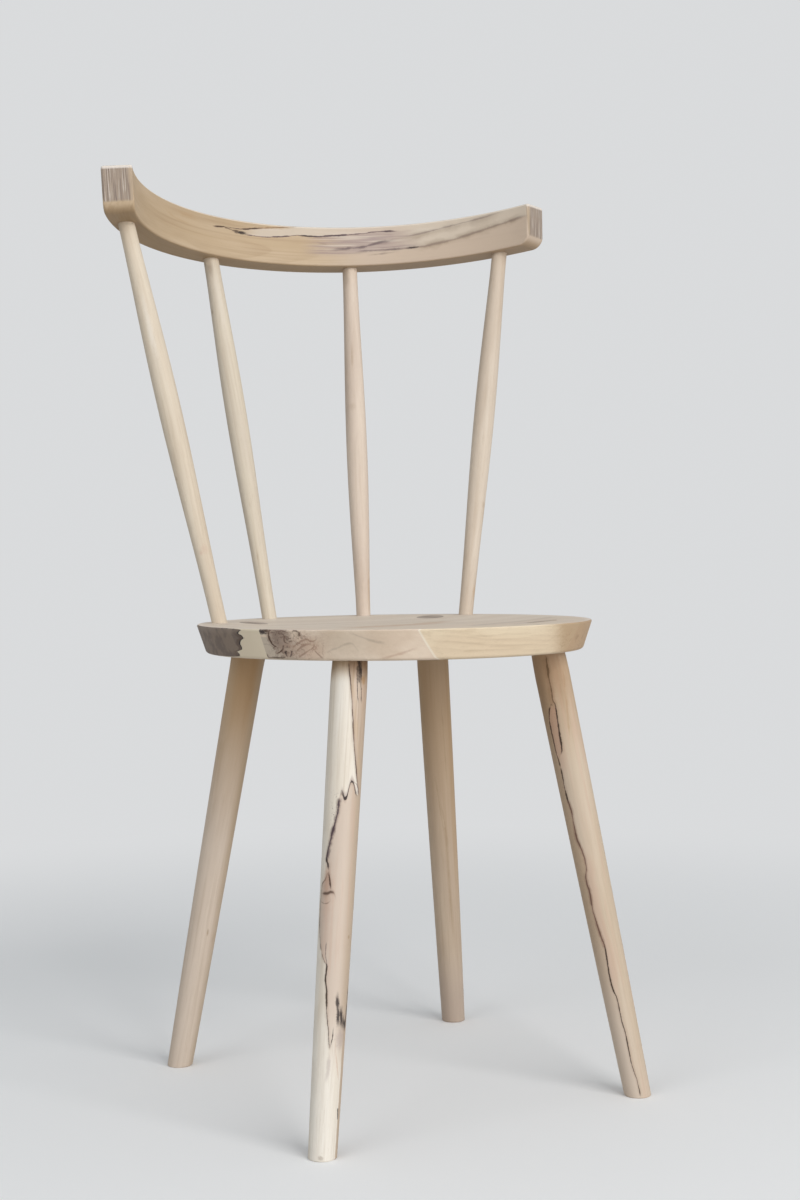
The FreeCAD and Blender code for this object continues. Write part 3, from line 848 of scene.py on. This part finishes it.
# painted shade of the seat: browner towards the top, and amber on the left side near the seat
wood.mark(wood.from_to((445, 900), (436, 700)), painted_seat_shade, 0.50)
wood.mark(wood.both(wood.from_to((441, 790), (434, 660)), wood.ramp(wood.across, 2, -14)),
          amber, 0.45)
wood.mark(wood.from_to((450, 930), (452, 1010)), foot_grey, 0.6)
for start, end in grain_lines.items():
    wood.line([start, end], width=1.2, colour=brown, strength=0.38, soft=0.8, fade=25.0,
              ragged=2.0)
wood.mark(wood.both(wood.ramp(wood.across, 9, 15), wood.from_to((448, 940), (444, 840))),
          amber, 0.45)
wood.mark(wood.ramp(wood.along, *tenon_from(leg)), tenon_end, 0.85)
dress(leg.name, wood.finish())
print("rear legs finished")

# %% [markdown]
# ## Spindles
#
# The four spindles are pale from end to end, with the rail's shade painted warmer under it. Each
# has its own slight tint, and a few small marks: brown ones where a twig once grew, and long
# streaks.

# %% Spindles
spindle_marks = {
    "outer_left": [((204.2, 549), 8, 8, blush, 0.35), ((201, 553), 4, 3, blush, 0.5),
                   ((176.5, 479), 4, 3, brown, 0.35), ((150, 330), 60, 5, cream, 0.5)],
    "inner_left": [((210.5, 268), 14, 6, grey_brown, 0.55), ((212.5, 312), 5, 3, brown, 0.5),
                   ((220, 300), 90, 6, bone, 0.5), ((257.5, 556), 10, 2, brown, 0.3)],
    "inner_right": [((346.5, 275), 26, 7, grey_brown, 0.55), ((352, 357), 26, 2, brown, 0.45),
                    ((370, 590), 46, 3.5, amber, 0.65), ((352, 406), 7, 6, brown, 0.25)],
    "outer_right": [((485.5, 505), 6, 5, brown, 0.4), ((486, 515), 22, 2.5, amber, 0.4),
                    ((475, 592), 14, 4.5, amber, 0.6), ((477, 500), 110, 4, brown, 0.25)]}
spindle_tones = {"outer_left": ((0.69, 0.61, 0.50), (0.62, 0.53, 0.42)),
                 "inner_left": ((0.67, 0.60, 0.49), (0.62, 0.55, 0.46)),
                 "inner_right": ((0.69, 0.59, 0.50), (0.60, 0.50, 0.42)),
                 "outer_right": ((0.66, 0.58, 0.49), (0.58, 0.49, 0.40))}
for number, (place, stick) in enumerate(spindles.items()):
    wood = stick.wood((*spindle_tones[place], brown), pith=(45, 30 + 8 * number),
                      seed=31 + number, bands=0.12)
    for mark in spindle_marks[place]:
        wood.blot(*mark, soft=0.6)
    # painted shade of the rail: the head of each spindle is warmer and darker
    painted_rail_shade = wood.ramp(wood.along, stick.length - 60, stick.length - 5)
    wood.mark(painted_rail_shade, warm_tan, 0.35)
    dress(stick.name, wood.finish())
print("spindles finished:", len(spindles))

# %% [markdown]
# ## Crest rail
#
# The rail was sawn or steamed to an arc, and its fibres follow the bend. Its grain coordinates
# are therefore polar: distance from the arc's centre, height, and length along the arc. The
# marks are charted by length and height, so they go straight through to the back face, as walls
# in real wood do.
#
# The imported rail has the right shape, but light that grazes its long edges shows its triangles
# as small steps. So it is made again, much finer, as a surface with a formula: a rectangle with
# rounded corners, carried along the arc. Towards each end the rectangle is set back on all
# sides, by a little more at every station, and that rounds the ends over.

# %% Rail surface
bend_centre = Vector((0, -42.97, 837.70)) * mm    # level with the rail's underside
bend_tilt = math.radians(6.3)         # the rail leans back with the spindles
rail_turned = Matrix.Rotation(-bend_tilt, 3, "X")
inner_radius, rail_thickness, rail_height = 239.7, 29.2, 42.6
bend_radius = inner_radius + rail_thickness / 2
half_turn = math.radians(66.4)        # from the middle of the rail to each end
saw_lean = math.radians(4.0)          # the ends are cut leaning in towards the underside
edge_round, under_round = 2.4, 12.0   # the edges, and the corner underneath each end
least_round = 0.12                    # what the edges' rounding shrinks to at the very ends


def set_back(depth, radius):
    """How far a rounded edge stands back from its flat: the radius less the height of a
    quarter circle of that radius, at a depth in from where the rounding ends."""
    left = np.clip(radius - depth, 0, radius)
    return radius - np.sqrt(radius ** 2 - left ** 2)


def swept_rail(corner_steps=10, end_steps=28, middle_steps=280):
    """A profile along a path. The profile's point at an angle is a corner's centre plus the
    corner's radius times the cosine and sine of that angle. The path is an arc, and a point's
    turn along it is the station's share of the turn at which the leaning saw cut lies for that
    point: the half turn less the arcsine of the cut's lean at its height over its radius."""
    run = half_turn * bend_radius
    near_end = under_round * np.linspace(0, 1, end_steps) ** 2
    half = np.concatenate([near_end, np.linspace(under_round, run, middle_steps // 2)[1:]])
    station = np.concatenate([half - run, (run - half)[-2::-1]])
    depth = (run - np.abs(station))[:, None]
    inset, under = set_back(depth, edge_round), set_back(depth, under_round)
    corner = np.maximum(edge_round - inset, least_round)

    angle = np.concatenate([np.linspace(0, np.pi / 2, corner_steps) + quarter * np.pi / 2
                            for quarter in range(4)])
    outward = np.repeat([1, -1, -1, 1], corner_steps)
    upper = np.repeat([True, True, False, False], corner_steps)
    r = (bend_radius + outward * (rail_thickness / 2 - inset - corner)
         + corner * np.cos(angle))
    z = np.where(upper, rail_height - inset - corner, under + corner) + corner * np.sin(angle)
    lean = np.arcsin((rail_height - z) * math.tan(saw_lean) / r)
    turn = station[:, None] / run * (half_turn - lean)
    corners = np.stack([r * np.sin(turn), r * np.cos(turn), z], axis=-1).reshape(-1, 3)
    corners = (corners @ np.array(rail_turned).T) * mm + np.array(bend_centre)

    ring = len(angle)
    here = np.arange(ring)
    beside_here = np.roll(here, -1)
    start = np.arange(len(station) - 1)[:, None] * ring
    sides = np.stack([start + here, start + beside_here, start + beside_here + ring,
                      start + here + ring], axis=-1).reshape(-1, 4)
    caps = [here[::-1].tolist(), (here + (len(station) - 1) * ring).tolist()]
    return corners, sides.tolist() + caps


corners, faces = swept_rail()
print("rail surface:", len(faces), "faces, box", corners.min(0).round(5), corners.max(0).round(5))

# %% [markdown]
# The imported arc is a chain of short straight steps, so it reaches 0.06 mm less far than the true
# arc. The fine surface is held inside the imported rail's box, and then takes that rail's place.

# %% Rail in place
packed_low, packed_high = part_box("crest_rail")
corners = np.clip(corners, packed_low, packed_high)
rail_mesh = bpy.data.meshes.new("crest_rail_fine")
rail_mesh.from_pydata(corners, [], faces)
rail_mesh.shade_smooth()
rail = bpy.data.objects.new("crest_rail_fine", rail_mesh)
bpy.context.scene.collection.objects.link(rail)
rail.modifiers.new("flat sides stay flat", "WEIGHTED_NORMAL")
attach(rail, "root")
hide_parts("crest_rail")
print("rail kept inside", [round(value, 5) for value in (*packed_low, *packed_high)])

# %% [markdown]
# Rays from the camera meet the imported rail, whose front face is the same, so the fine surface
# takes the marks over without a shift. The top face gets a figure of its own, because the
# photograph hardly shows it, and a highlight is painted pale along its rounded edges. The top face
# gets a figure of its own, because the
# photograph hardly shows it, and its edges are worn pale by hands.

# %% Rail wood
pale_tone, middle_tone = (0.55, 0.43, 0.30), (0.50, 0.38, 0.25)
rail_surface = surface_of("crest_rail")


def rail_spot(pixel):
    """Where a pixel lies on the rail: length along the arc to the right, and height."""
    x, y, z = rail_turned.transposed() @ (seen_at(rail_surface, pixel) - bend_centre) / mm
    return math.atan2(x, y) * bend_radius, z


wood = MarkedWood("wood of crest rail", rail_spot)
local = wood.node("Mapping", {"Vector": wood.place, "Location": bend_centre,
                              "Rotation": rail_turned.to_euler(), "Scale": (mm, mm, mm)},
                  vector_type="TEXTURE").outputs[0]
x, y, wood.across = wood.split(local)
wood.along = wood.math("MULTIPLY", wood.math("ARCTAN2", x, y), bend_radius)
reach = wood.node("VectorMath", {0: wood.join(x, y, 0.0)}, operation="LENGTH").outputs["Value"]
depth = wood.math("SUBTRACT", reach, bend_radius)
wood.grow(wood.join(depth, wood.across, wood.along), (pale_tone, middle_tone, brown),
          pith=(60, 25), seed=41, bands=0.30, ring_depth=0.25)
print("plain wood on the rail")

# %% [markdown]
# A long zone line bounds a lens of paler wood in the middle of the face, and a second one climbs
# to the right end. Between them lies a cloud of grey purple fibres.

# %% Rail tones
lens_tone = (0.58, 0.50, 0.41)
lens_fibres = (0.62, 0.53, 0.46)
right_tone = (0.56, 0.46, 0.38)
tip_tone = (0.60, 0.52, 0.43)
cloud_dark = (0.30, 0.225, 0.215)
cloud_pale = (0.66, 0.58, 0.49)
facing = wood.split(wood.node("NewGeometry").outputs["Normal"])[2]
wood.within = wood.ramp(facing, 0.97, 0.90)      # the charted marks stop short of the top
top_line = [(211.9, 225.9), (219.4, 226.4), (225.7, 226.9), (240, 229), (254.4, 228.4),
            (274.6, 227.7), (294.8, 226.3), (300.3, 225.4)]
fork_line = [(224.5, 227.4), (229.5, 229), (235, 231.4)]
lens_line = [(244, 234.4), (256.9, 236.2), (276, 236.8), (289.8, 236), (302, 235.4),
             (312, 236.6), (330, 235.8), (340.9, 235.3), (350.6, 234.6), (362.5, 233.7),
             (376.9, 231.7), (388.9, 231.3), (399.6, 231)]
long_line = [(326.5, 250.4), (340, 249), (359.6, 247.4), (372, 244.6), (384, 241.6),
             (399.6, 239.4)]
lower_line = [(352.4, 253.4), (369.7, 250.6), (393.5, 249.4), (405.7, 248.2), (412.7, 247.4),
              (424.1, 246.2), (433.3, 244), (444.4, 241.9), (466, 235.6), (487.7, 228.4),
              (509.3, 221.2), (529.4, 214.7)]
upper_band = [(394, 240.4), (408.4, 237.6), (430, 232.8), (451.6, 227), (474.7, 221.2),
              (492, 216.2), (505, 212)]
cloud_edge = [(300, 256), (350, 254), (400, 249), (430, 245)]
above_lens = wood.beside(lens_line, soft=0.7)
left_end = wood.from_to((236, 228), (262, 228))
under_top = wood.without(wood.both(wood.beside(top_line, soft=0.7),
                                   wood.from_to((301, 226), (294, 226))))
lens = wood.both(above_lens, left_end, under_top, wood.from_to((455, 215), (385, 225)))
wood.mark(lens, lens_tone, 0.92)
right_part = wood.from_to((300, 245), (372, 245))
wood.mark(right_part, right_tone, 0.75)
above_lower = wood.both(wood.beside(lower_line, soft=1.0), right_part)
wood.mark(wood.both(above_lower, wood.without(wood.beside(lens_line, soft=1.5)),
                    wood.from_to((440, 240), (350, 242))), grey_purple, 0.42)
wood.mark(wood.both(above_lower, wood.from_to((385, 245), (425, 240))), tip_tone, 0.9)
wood.mark(wood.both(lens, wood.ramp(wood.fibres(0.30, 0.010), 0.50, 0.66)), lens_fibres, 0.5)
cloud = wood.both(wood.from_to((298, 245), (330, 245)), wood.from_to((432, 240), (392, 240)),
                  wood.without(wood.beside(lens_line, soft=2.0)),
                  wood.beside(cloud_edge, soft=3.0))
wood.mark(cloud, grey_purple, 0.30)
wood.mark(wood.both(cloud, wood.ramp(wood.fibres(0.42, 0.014, detail=3), 0.50, 0.60)),
          cloud_dark, 0.60)
wood.mark(wood.both(cloud, wood.ramp(wood.fibres(0.35, 0.010), 0.47, 0.36)), cloud_pale, 0.60)
print("tones on the rail")

# %% [markdown]
# The lines on the rail are mostly soft at their edges, because their walls meet the face at a
# flat angle. A wider and paler stroke under a thin one gives that look.

# %% Rail lines
pale_band = (0.74, 0.67, 0.58)
between_bands = [(400, 236), (420, 232.5), (445, 228), (470, 222), (500, 213.5)]
wood.line(between_bands, width=5.0, colour=pale_band, strength=0.65, soft=2.5, fade=30.0,
          ragged=3.0)
wood.line(upper_band, width=5.5, colour=smoke, strength=0.62, soft=4.0, fade=30.0, ragged=3.0)
wood.line([(x, y - 1.5) for x, y in upper_band], width=1.2, colour=purple_ink, strength=0.45,
          soft=0.8, fade=30.0)
strokes = [
    (lower_line, 1.8, purple_ink, 0.70, 1.3, 20.0),
    (lower_line[3:], 6.0, smoke, 0.52, 4.0, 25.0),
    (long_line, 2.2, purple_ink, 0.70, 1.2, 22.0),
    ([(316.4, 242.8), (322, 243.6), (329.3, 244.3)], 1.4, purple_ink, 0.4, 1.0, 10.0),
    ([(364, 255.6), (384, 253.4), (402, 251)], 1.4, purple_ink, 0.4, 1.0, 20.0),
    ([(352, 241.6), (372, 239), (398, 235.4)], 2.6, grey_purple, 0.5, 1.8, 20.0)]
for pixels, width, colour, strength, soft, fade in strokes:
    wood.line(pixels, width=width, colour=colour, strength=strength, soft=soft, fade=fade)
wood.blot((412.7, 247.6), 14, 1.8, ink, 0.85, soft=0.4)
wood.blot((320, 241), 30, 6, amber, 0.22, soft=0.8)
wood.line(lens_line, width=1.3, colour=purple_ink, strength=0.95, soft=0.35, fade=12.0)
wood.blot((307.5, 236), 18, 1.7, ink, 0.8)
wood.line(top_line, width=1.2, colour=brown_ink, strength=0.95, fade=8.0)
wood.line(top_line[4:], width=2.6, colour=amber, strength=0.5, soft=1.0, fade=14.0)
wood.line(fork_line, width=1.4, colour=brown_ink, strength=0.95, fade=2.0)
wood.blot((240.5, 232.6), 17, 3.3, ink, 0.95, soft=0.3)
wood.blot((236, 230.6), 10, 1.6, brown_ink, 0.8)
left_strokes = [
    ([(199, 211.9), (206, 212.8), (219, 215.8)], 1.8, purple_ink, 0.7, 0.9, 8.0),
    ([(172, 206), (184, 214), (200, 219.5)], 4.5, amber, 0.40, 2.5, 22.0),
    ([(162, 205), (178, 219), (194, 225)], 1.8, amber, 0.35, 1.0, 20.0)]
for pixels, width, colour, strength, soft, fade in left_strokes:
    wood.line(pixels, width=width, colour=colour, strength=strength, soft=soft, fade=fade)
print("lines on the rail")

# %% [markdown]
# The sawn ends show dark end grain in layers, with a highlight painted along their top. The top
# has colonies of its own, the underside is painted browner as shade, and the upper edges get a
# painted pale highlight.

# %% Rail ends, top and underside
end_brown = (0.32, 0.26, 0.215)
end_dark = (0.19, 0.15, 0.13)
end_pale = (0.62, 0.56, 0.51)
painted_end_highlight = (0.74, 0.68, 0.63)
top_tone = (0.60, 0.51, 0.42)
painted_underside_shade = (0.34, 0.23, 0.13)
painted_edge_highlight = (0.80, 0.73, 0.64)
left_reach = rail_spot((116, 190))[0]
at_end = wood.math("MAXIMUM", wood.ramp(wood.along, left_reach + 1.5, left_reach + 0.6),
                   wood.ramp(wood.along, -left_reach - 1.5, -left_reach - 0.6))
wood.mark(at_end, end_brown, 0.88)
layers = wood.noise(wood.join(wood.math("MULTIPLY", depth, 0.9), 0.0,
                              wood.math("MULTIPLY", wood.across, 0.03)), detail=3)
wood.mark(wood.both(at_end, wood.ramp(layers, 0.50, 0.62)), end_dark, 0.75)
wood.mark(wood.both(at_end, wood.ramp(layers, 0.45, 0.32)), end_pale, 0.70)
wood.mark(wood.both(at_end, wood.ramp(depth, -9.0, -13.0)), warm_tan, 0.5)
# painted highlight along the rounded top of each sawn end
end_highlight_band = wood.both(at_end, wood.ramp(wood.across, rail_height - 4.0, rail_height - 2.4))
wood.mark(end_highlight_band, painted_end_highlight, 0.85)
wood.within = 1.0
on_top = wood.ramp(facing, 0.90, 0.97)
wood.mark(wood.both(on_top, right_part), top_tone, 0.75)
wood.colonies(wood.both(on_top, right_part), size=30.0, tones=(grey_purple, pink_tan),
              strength=0.6)
# painted shade: the underside, which faces down, is made browner
wood.mark(wood.ramp(facing, -0.35, -0.85), painted_underside_shade, 0.60)
# painted highlight: the rounded upper edges are made paler where they catch the light
highlit_edges = wood.both(wood.ramp(facing, 0.20, 0.45), wood.ramp(facing, 0.98, 0.88))
wood.mark(wood.both(highlit_edges, wood.ramp(wood.grit, -0.3, 0.1, 0.6, 1.0)), painted_edge_highlight, 0.70)
rail_mesh.materials.append(wood.finish())
print("rail end at", round(left_reach), "mm along the arc")

# %% [markdown]
# ## Seat
#
# The seat was glued up from three boards and cut to a disc, so its rim shows every board's side
# and end grain in turn. On the rim a mark is charted by its place round the edge and its height,
# and on the top by its place along and across the boards. The normal tells rim from top.

# %% Seat charts
seat_middle = Vector((0, -33.114, 0)) * mm
seat_half_width, seat_half_depth = 0.184, 0.196
seat_turn = math.radians(5)           # the boards run this much askew
rim_reach = 188.0
fibre_way = Vector((math.cos(seat_turn), math.sin(seat_turn), 0))
cross_way = Vector((-math.sin(seat_turn), math.cos(seat_turn), 0))
boards_turned = Matrix((cross_way, straight_up, fibre_way)).transposed()
seat_surface = surface_of("seat_board_front", "seat_board_middle", "seat_board_rear")


def rim_spot(pixel):
    """Where a pixel lies on the rim: millimetres round it to the right, and height."""
    x, y, z = (seen_at(seat_surface, pixel) - seat_middle) / mm
    return math.atan2(x, -y) * rim_reach, z


def top_spot(pixel):
    """Where a pixel lies on the top: millimetres along the boards and across them."""
    point = (seen_at(seat_surface, pixel) - seat_middle) / mm
    return point.dot(fibre_way), point.dot(cross_way)


class Board(MarkedWood):
    """The wood of one board of the seat, with one chart for the rim and one for the top."""

    def __init__(self, name, tones, pith, seed, **look):
        super().__init__("wood of " + name.replace("_", " "), rim_spot)
        grain = self.node("Mapping", {"Vector": self.place, "Location": seat_middle,
                                      "Rotation": boards_turned.to_euler(),
                                      "Scale": (mm, mm, mm)}, vector_type="TEXTURE")
        self.cross, self.height, self.run = self.split(grain.outputs[0])
        self.grow(grain.outputs[0], tones, pith, seed, **look)
        x, y, z = self.split(self.vector("SUBTRACT", self.place, seat_middle))
        turn = self.math("ARCTAN2", x, self.math("MULTIPLY", y, -1.0))
        self.around = self.math("MULTIPLY", turn, rim_reach)
        facing = self.split(self.node("NewGeometry").outputs["Normal"])[2]
        self.on_rim = self.ramp(self.math("ABSOLUTE", facing), 0.90, 0.78)
        self.on_top = self.ramp(facing, 0.80, 0.92)
        self.beneath = self.ramp(facing, -0.90, -0.98)
        x = self.math("DIVIDE", x, seat_half_width)
        y = self.math("DIVIDE", y, seat_half_depth)
        reach = self.node("VectorMath", {0: self.join(x, y, 0.0)}, operation="LENGTH")
        self.reach = reach.outputs["Value"]
        self.use_rim()

    def use_rim(self):
        """From here on, marks are charted on the rim."""
        self.spot, self.within = rim_spot, self.on_rim
        self.along, self.across = self.around, self.height

    def use_top(self):
        """From here on, marks are charted on the top."""
        self.spot, self.within = top_spot, self.on_top
        self.along, self.across = self.run, self.cross

    def use_underside(self):
        """From here on, marks keep to the underside."""
        self.within = self.beneath

    def close(self):
        """The last layers of each board: the top bleached, a highlight painted pale along its
        edge, and spalting beneath."""
        self.use_top()
        bleached, painted_rim_highlight = (0.86, 0.74, 0.62), (0.84, 0.75, 0.66)
        self.mark(0.35, bleached)
        # painted highlight: a pale band along the outer edge of the top
        self.mark(self.ramp(self.reach, 0.955, 0.985), painted_rim_highlight, 0.75)
        self.use_underside()
        self.colonies(1.0, size=34.0, tones=(grey_purple, pink_tan, cream))
        return self.finish()


def amber_streak(wood):
    """A warm streak that crosses the glue line between the rear and the middle board. The top
    is seen so flat that a streak of one pixel is 26 mm wide."""
    pixels = [(345, 628.2), (356, 627.6), (380.7, 626.2), (400, 625.2), (416, 624.4),
              (433, 622.8), (451, 621)]
    wood.line(pixels, width=24.0, colour=(0.50, 0.29, 0.14), strength=0.70, soft=8.0,
              fade=22.0, ragged=14.0)


# %% [markdown]
# The rear board ends at the left of the rim, in wood that is stained dark as far as a ragged
# wall, with a strip of pale greenish wood between the wall and the glue line.

# %% Rear board
greenish = (0.75, 0.66, 0.51)
stained_brown = (0.225, 0.172, 0.135)
stained_dark = (0.150, 0.115, 0.098)
stained_edge = (0.33, 0.27, 0.22)
ink_spots = [(222, 628.6), (229.5, 628), (233, 629.6), (216.5, 629.6)]
wood = Board("seat_board_rear", ((0.76, 0.67, 0.57), (0.68, 0.58, 0.48), brown), pith=(110, 250),
             seed=51, bands=0.07, ring_depth=0.06)
wall = [(236.2, 627.6), (239.6, 630), (237.1, 633), (240.6, 635.4), (243, 637.9),
        (240.6, 640.3), (239.8, 644), (241.1, 646.4), (242, 648.9), (237.6, 651.8),
        (239.1, 656), (240.6, 658.2)]
stained = wood.without(wood.beside(wall, crossing=True))
wood.mark(wood.both(wood.without(stained), wood.ramp(wood.along, 0, -100)), greenish, 0.85)
stained_here = wood.both(stained, wood.ramp(wood.along, -500, -440))
wood.mark(stained_here, stained_brown, 0.96)
wood.mark(wood.both(stained_here, wood.ramp(wood.fibres(0.10, 0.03), 0.42, 0.62)),
          stained_dark, 0.7)
wood.line([(x - 2.0, y) for x, y in wall], width=6.0, colour=brown_ink, strength=0.55, soft=2.5,
          ragged=4.0, crossing=True, fade=0.8)
wood.line(wall, width=2.2, colour=ink, ragged=6.0, crossing=True, fade=0.8)
for pixel in ink_spots:
    wood.blot(pixel, 3.4, 1.8, ink, 0.75)
wood.mark(wood.both(stained_here, wood.ramp(wood.across, 433, 438)), stained_edge, 0.45)
wood.use_top()
wood.blot((253.5, 623.3), 30, 34, grey_purple, 0.35)
amber_streak(wood)
dress("seat_board_rear", wood.close())

# %% [markdown]
# The middle board carries the finest drawing on the rim: a brown pool with dark curls at its
# left end, then loose reddish swirls that fade into plain wood.

# %% Middle board
wood = Board("seat_board_middle", ((0.74, 0.63, 0.52), (0.66, 0.54, 0.43), brown), pith=(20, 330),
             seed=61, bands=0.07, ring_depth=0.02)
left_tone = (0.53, 0.46, 0.38)
right_brown = (0.42, 0.28, 0.16)
left_edge = [(302, 628), (306, 645), (302, 656)]
right_edge = [(556, 627), (560, 648)]
wood.mark(wood.without(wood.beside(left_edge, soft=8.0, crossing=True)), left_tone, 0.85)
wood.mark(wood.beside(right_edge, soft=6.0, crossing=True), right_brown, 0.85)
pools = [((279.5, 638), 25, 24, (0.25, 0.185, 0.150), 0.90, 0.30),
         ((283.5, 640.5), 12, 9, (0.42, 0.33, 0.27), 0.6, 0.5),
         ((287, 651), 22, 14, (0.44, 0.33, 0.26), 0.6, 0.5),
         ((307, 648.5), 36, 24, (0.55, 0.38, 0.29), 0.55, 0.5),
         ((346, 642), 64, 28, (0.50, 0.41, 0.31), 0.50, 0.6)]
for look in pools:
    wood.blot(*look)
pool = wood.patch((285, 641), 46, 40, soft=0.3)
wood.veins(pool, (0.16, 0.105, 0.08), size=15.0, width=0.07, strength=0.85)
reddish = wood.patch((309, 647), 46, 30, soft=0.5)
wood.veins(reddish, (0.33, 0.19, 0.14), size=16.0, width=0.05, strength=0.60)
wood.blot((262, 631.4), 11, 4.6, ink, 0.95, soft=0.3, ragged=2.0)
wood.blot((266.5, 630.4), 9, 2.8, brown_ink, 0.85)
curls = [
    ([(269.6, 630), (268.5, 636.2), (270.6, 641.4), (275.3, 646.4), (280, 647.9)],
     2.2, brown_ink, 0.95),
    ([(283.3, 645.2), (283, 648.5), (281.5, 650.8), (277.3, 653.6)], 1.8, brown_ink, 0.9),
    ([(266.6, 653.9), (269, 657.6)], 1.8, ink, 0.8),
    ([(283, 629.2), (285.7, 632), (288.3, 633)], 1.7, brown_ink, 0.85),
    ([(297, 631.6), (298.8, 633), (299.4, 636.4)], 1.5, brown_ink, 0.8),
    ([(279.4, 632.6), (284.2, 636.2), (283.9, 640.4), (287.8, 644)], 1.2, brown_ink, 0.7),
    ([(286, 650.6), (285.9, 654), (287.6, 657)], 1.8, ink, 0.9),
    ([(291.6, 650.6), (291.4, 654), (290.2, 657.2)], 1.6, ink, 0.85)]
for pixels, width, colour, strength in curls:
    wood.line(pixels, width=width, colour=colour, strength=strength, soft=0.6, crossing=True,
              fade=1.0, ragged=3.4, halo=0.5)
print("pools and curls on the middle board:", len(pools), len(curls))

# %% [markdown]
# Right of the curls the drawing gets looser and fainter, and the right end of the rim has knots
# in a brown patch. The top has three soft stains.

# %% Middle board, swirls and top
upper_bow = [(292.5, 631.2), (295.5, 630.8), (298, 632.2)]
lower_edge = [(268, 657.4), (277, 657.6), (286, 657.8)]
wood.line(upper_bow, width=1.4, colour=brown_ink, strength=0.75, fade=1.5)
wood.line(lower_edge, width=1.2, colour=brown_ink, strength=0.7, fade=2.0)
swirls = [[(291.9, 648.4), (299.2, 642.5), (306.5, 639.5), (311.5, 641.5), (318, 637.3)],
          [(294, 655), (299.2, 648.9), (305.5, 644.7), (311.7, 643.6)],
          [(298.2, 657.4), (306.5, 652), (312.8, 647.7), (315.8, 641)],
          [(312.8, 648.6), (319, 655), (324, 658.6)]]
for pixels in swirls:
    wood.line(pixels, width=1.3, colour=red_ink, strength=0.62, soft=0.8, fade=3.0,
              ragged=2.6)
wisps = [[(325.3, 652), (337.8, 647.7), (350.3, 643.5), (356.5, 648.7), (361.7, 656.5)],
         [(347.1, 632), (360, 636.6), (371.1, 640.4), (388, 644)],
         [(378.4, 659), (386.7, 657.2), (401.2, 653.5), (410.8, 650.2), (419, 647.8)]]
for pixels, colour in zip(wisps, (grey_brown, grey_brown, (0.36, 0.20, 0.13))):
    wood.line(pixels, width=1.5, colour=colour, strength=0.42, soft=1.1, fade=9.0, ragged=2.0)
knots = {(576.5, 637): 7, (582, 645): 8}
for pixel, size in knots.items():
    wood.blot(pixel, size, size * 0.7, brown, 0.6, soft=0.5, ragged=2.5)
wood.veins(wood.patch((580, 640), 40, 26, soft=0.5), (0.25, 0.15, 0.09), size=13.0,
           strength=0.6)
wood.use_top()
amber_streak(wood)
brown_streak = [(468.9, 626), (489.3, 624), (509.7, 622.4), (527.6, 620), (546.7, 617.6),
                (578.6, 616.4)]
purple_streak = [(512, 624.8), (533.9, 621.8), (556, 619)]
wood.line(brown_streak, width=13.0, colour=grey_brown, strength=0.45, soft=5.0, fade=14.0,
          ragged=8.0)
wood.line(purple_streak, width=12.0, colour=grey_purple, strength=0.4, soft=5.0, fade=14.0,
          ragged=8.0)
dress("seat_board_middle", wood.close())

# %% [markdown]
# The front board is the plainest: yellowish, with its grain lines running level along the rim.

# %% Front board
front_joint = -171.0         # where it meets the middle board, across the boards
right_brown = (0.44, 0.31, 0.19)
wood = Board("seat_board_front", ((0.74, 0.63, 0.47), (0.69, 0.57, 0.42), brown),
             pith=(-183, 210), seed=71, ring_depth=0.14, ring_gap=4.4)
level_lines = [[(454.5, 635.2), (485, 636), (510, 634)],
               [(444, 641), (470, 643), (500, 642.6)],
               [(450, 651), (490, 650), (530, 647)]]
for pixels in level_lines:
    wood.line(pixels, width=1.2, colour=brown, strength=0.22, soft=1.0, fade=25.0)
right_edge = [(556, 626), (558, 651)]
wood.mark(wood.beside(right_edge, soft=16.0, ragged=20.0, crossing=True), right_brown, 0.85)
wood.veins(wood.patch((566, 642), 22, 26, soft=0.5), (0.28, 0.17, 0.10), size=13.0,
           strength=0.5)
glue_line = wood.math("ABSOLUTE", wood.math("SUBTRACT", wood.cross, front_joint))
glue_seen = wood.both(wood.ramp(glue_line, 1.3, 0.5), wood.ramp(wood.run, 60, 20))
wood.mark(glue_seen, cream, 0.5)
dress("seat_board_front", wood.close())
print("seat boards finished")

# %% [markdown]
# ## Wedges
#
# The wedges that lock the tenons are split from a darker, denser piece, so that they show as a
# thin stripe across each round end.

# %% Wedges
for number, name in enumerate(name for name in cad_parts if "wedge" in name):
    low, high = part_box(name)
    wood = MarkedWood("wood of " + name.replace("_", " "), None)
    grain = wood.node("Mapping", {"Vector": wood.place, "Location": low,
                                  "Scale": (mm, mm, mm)}, vector_type="TEXTURE")
    wood.grow(grain.outputs[0], ((0.37, 0.30, 0.25), (0.33, 0.26, 0.21), brown_ink),
              pith=(20, 20), seed=81 + number)
    dress(name, wood.finish())
    if not number:
        print("one wedge is", [round(size * 1000, 1) for size in high - low], "mm")
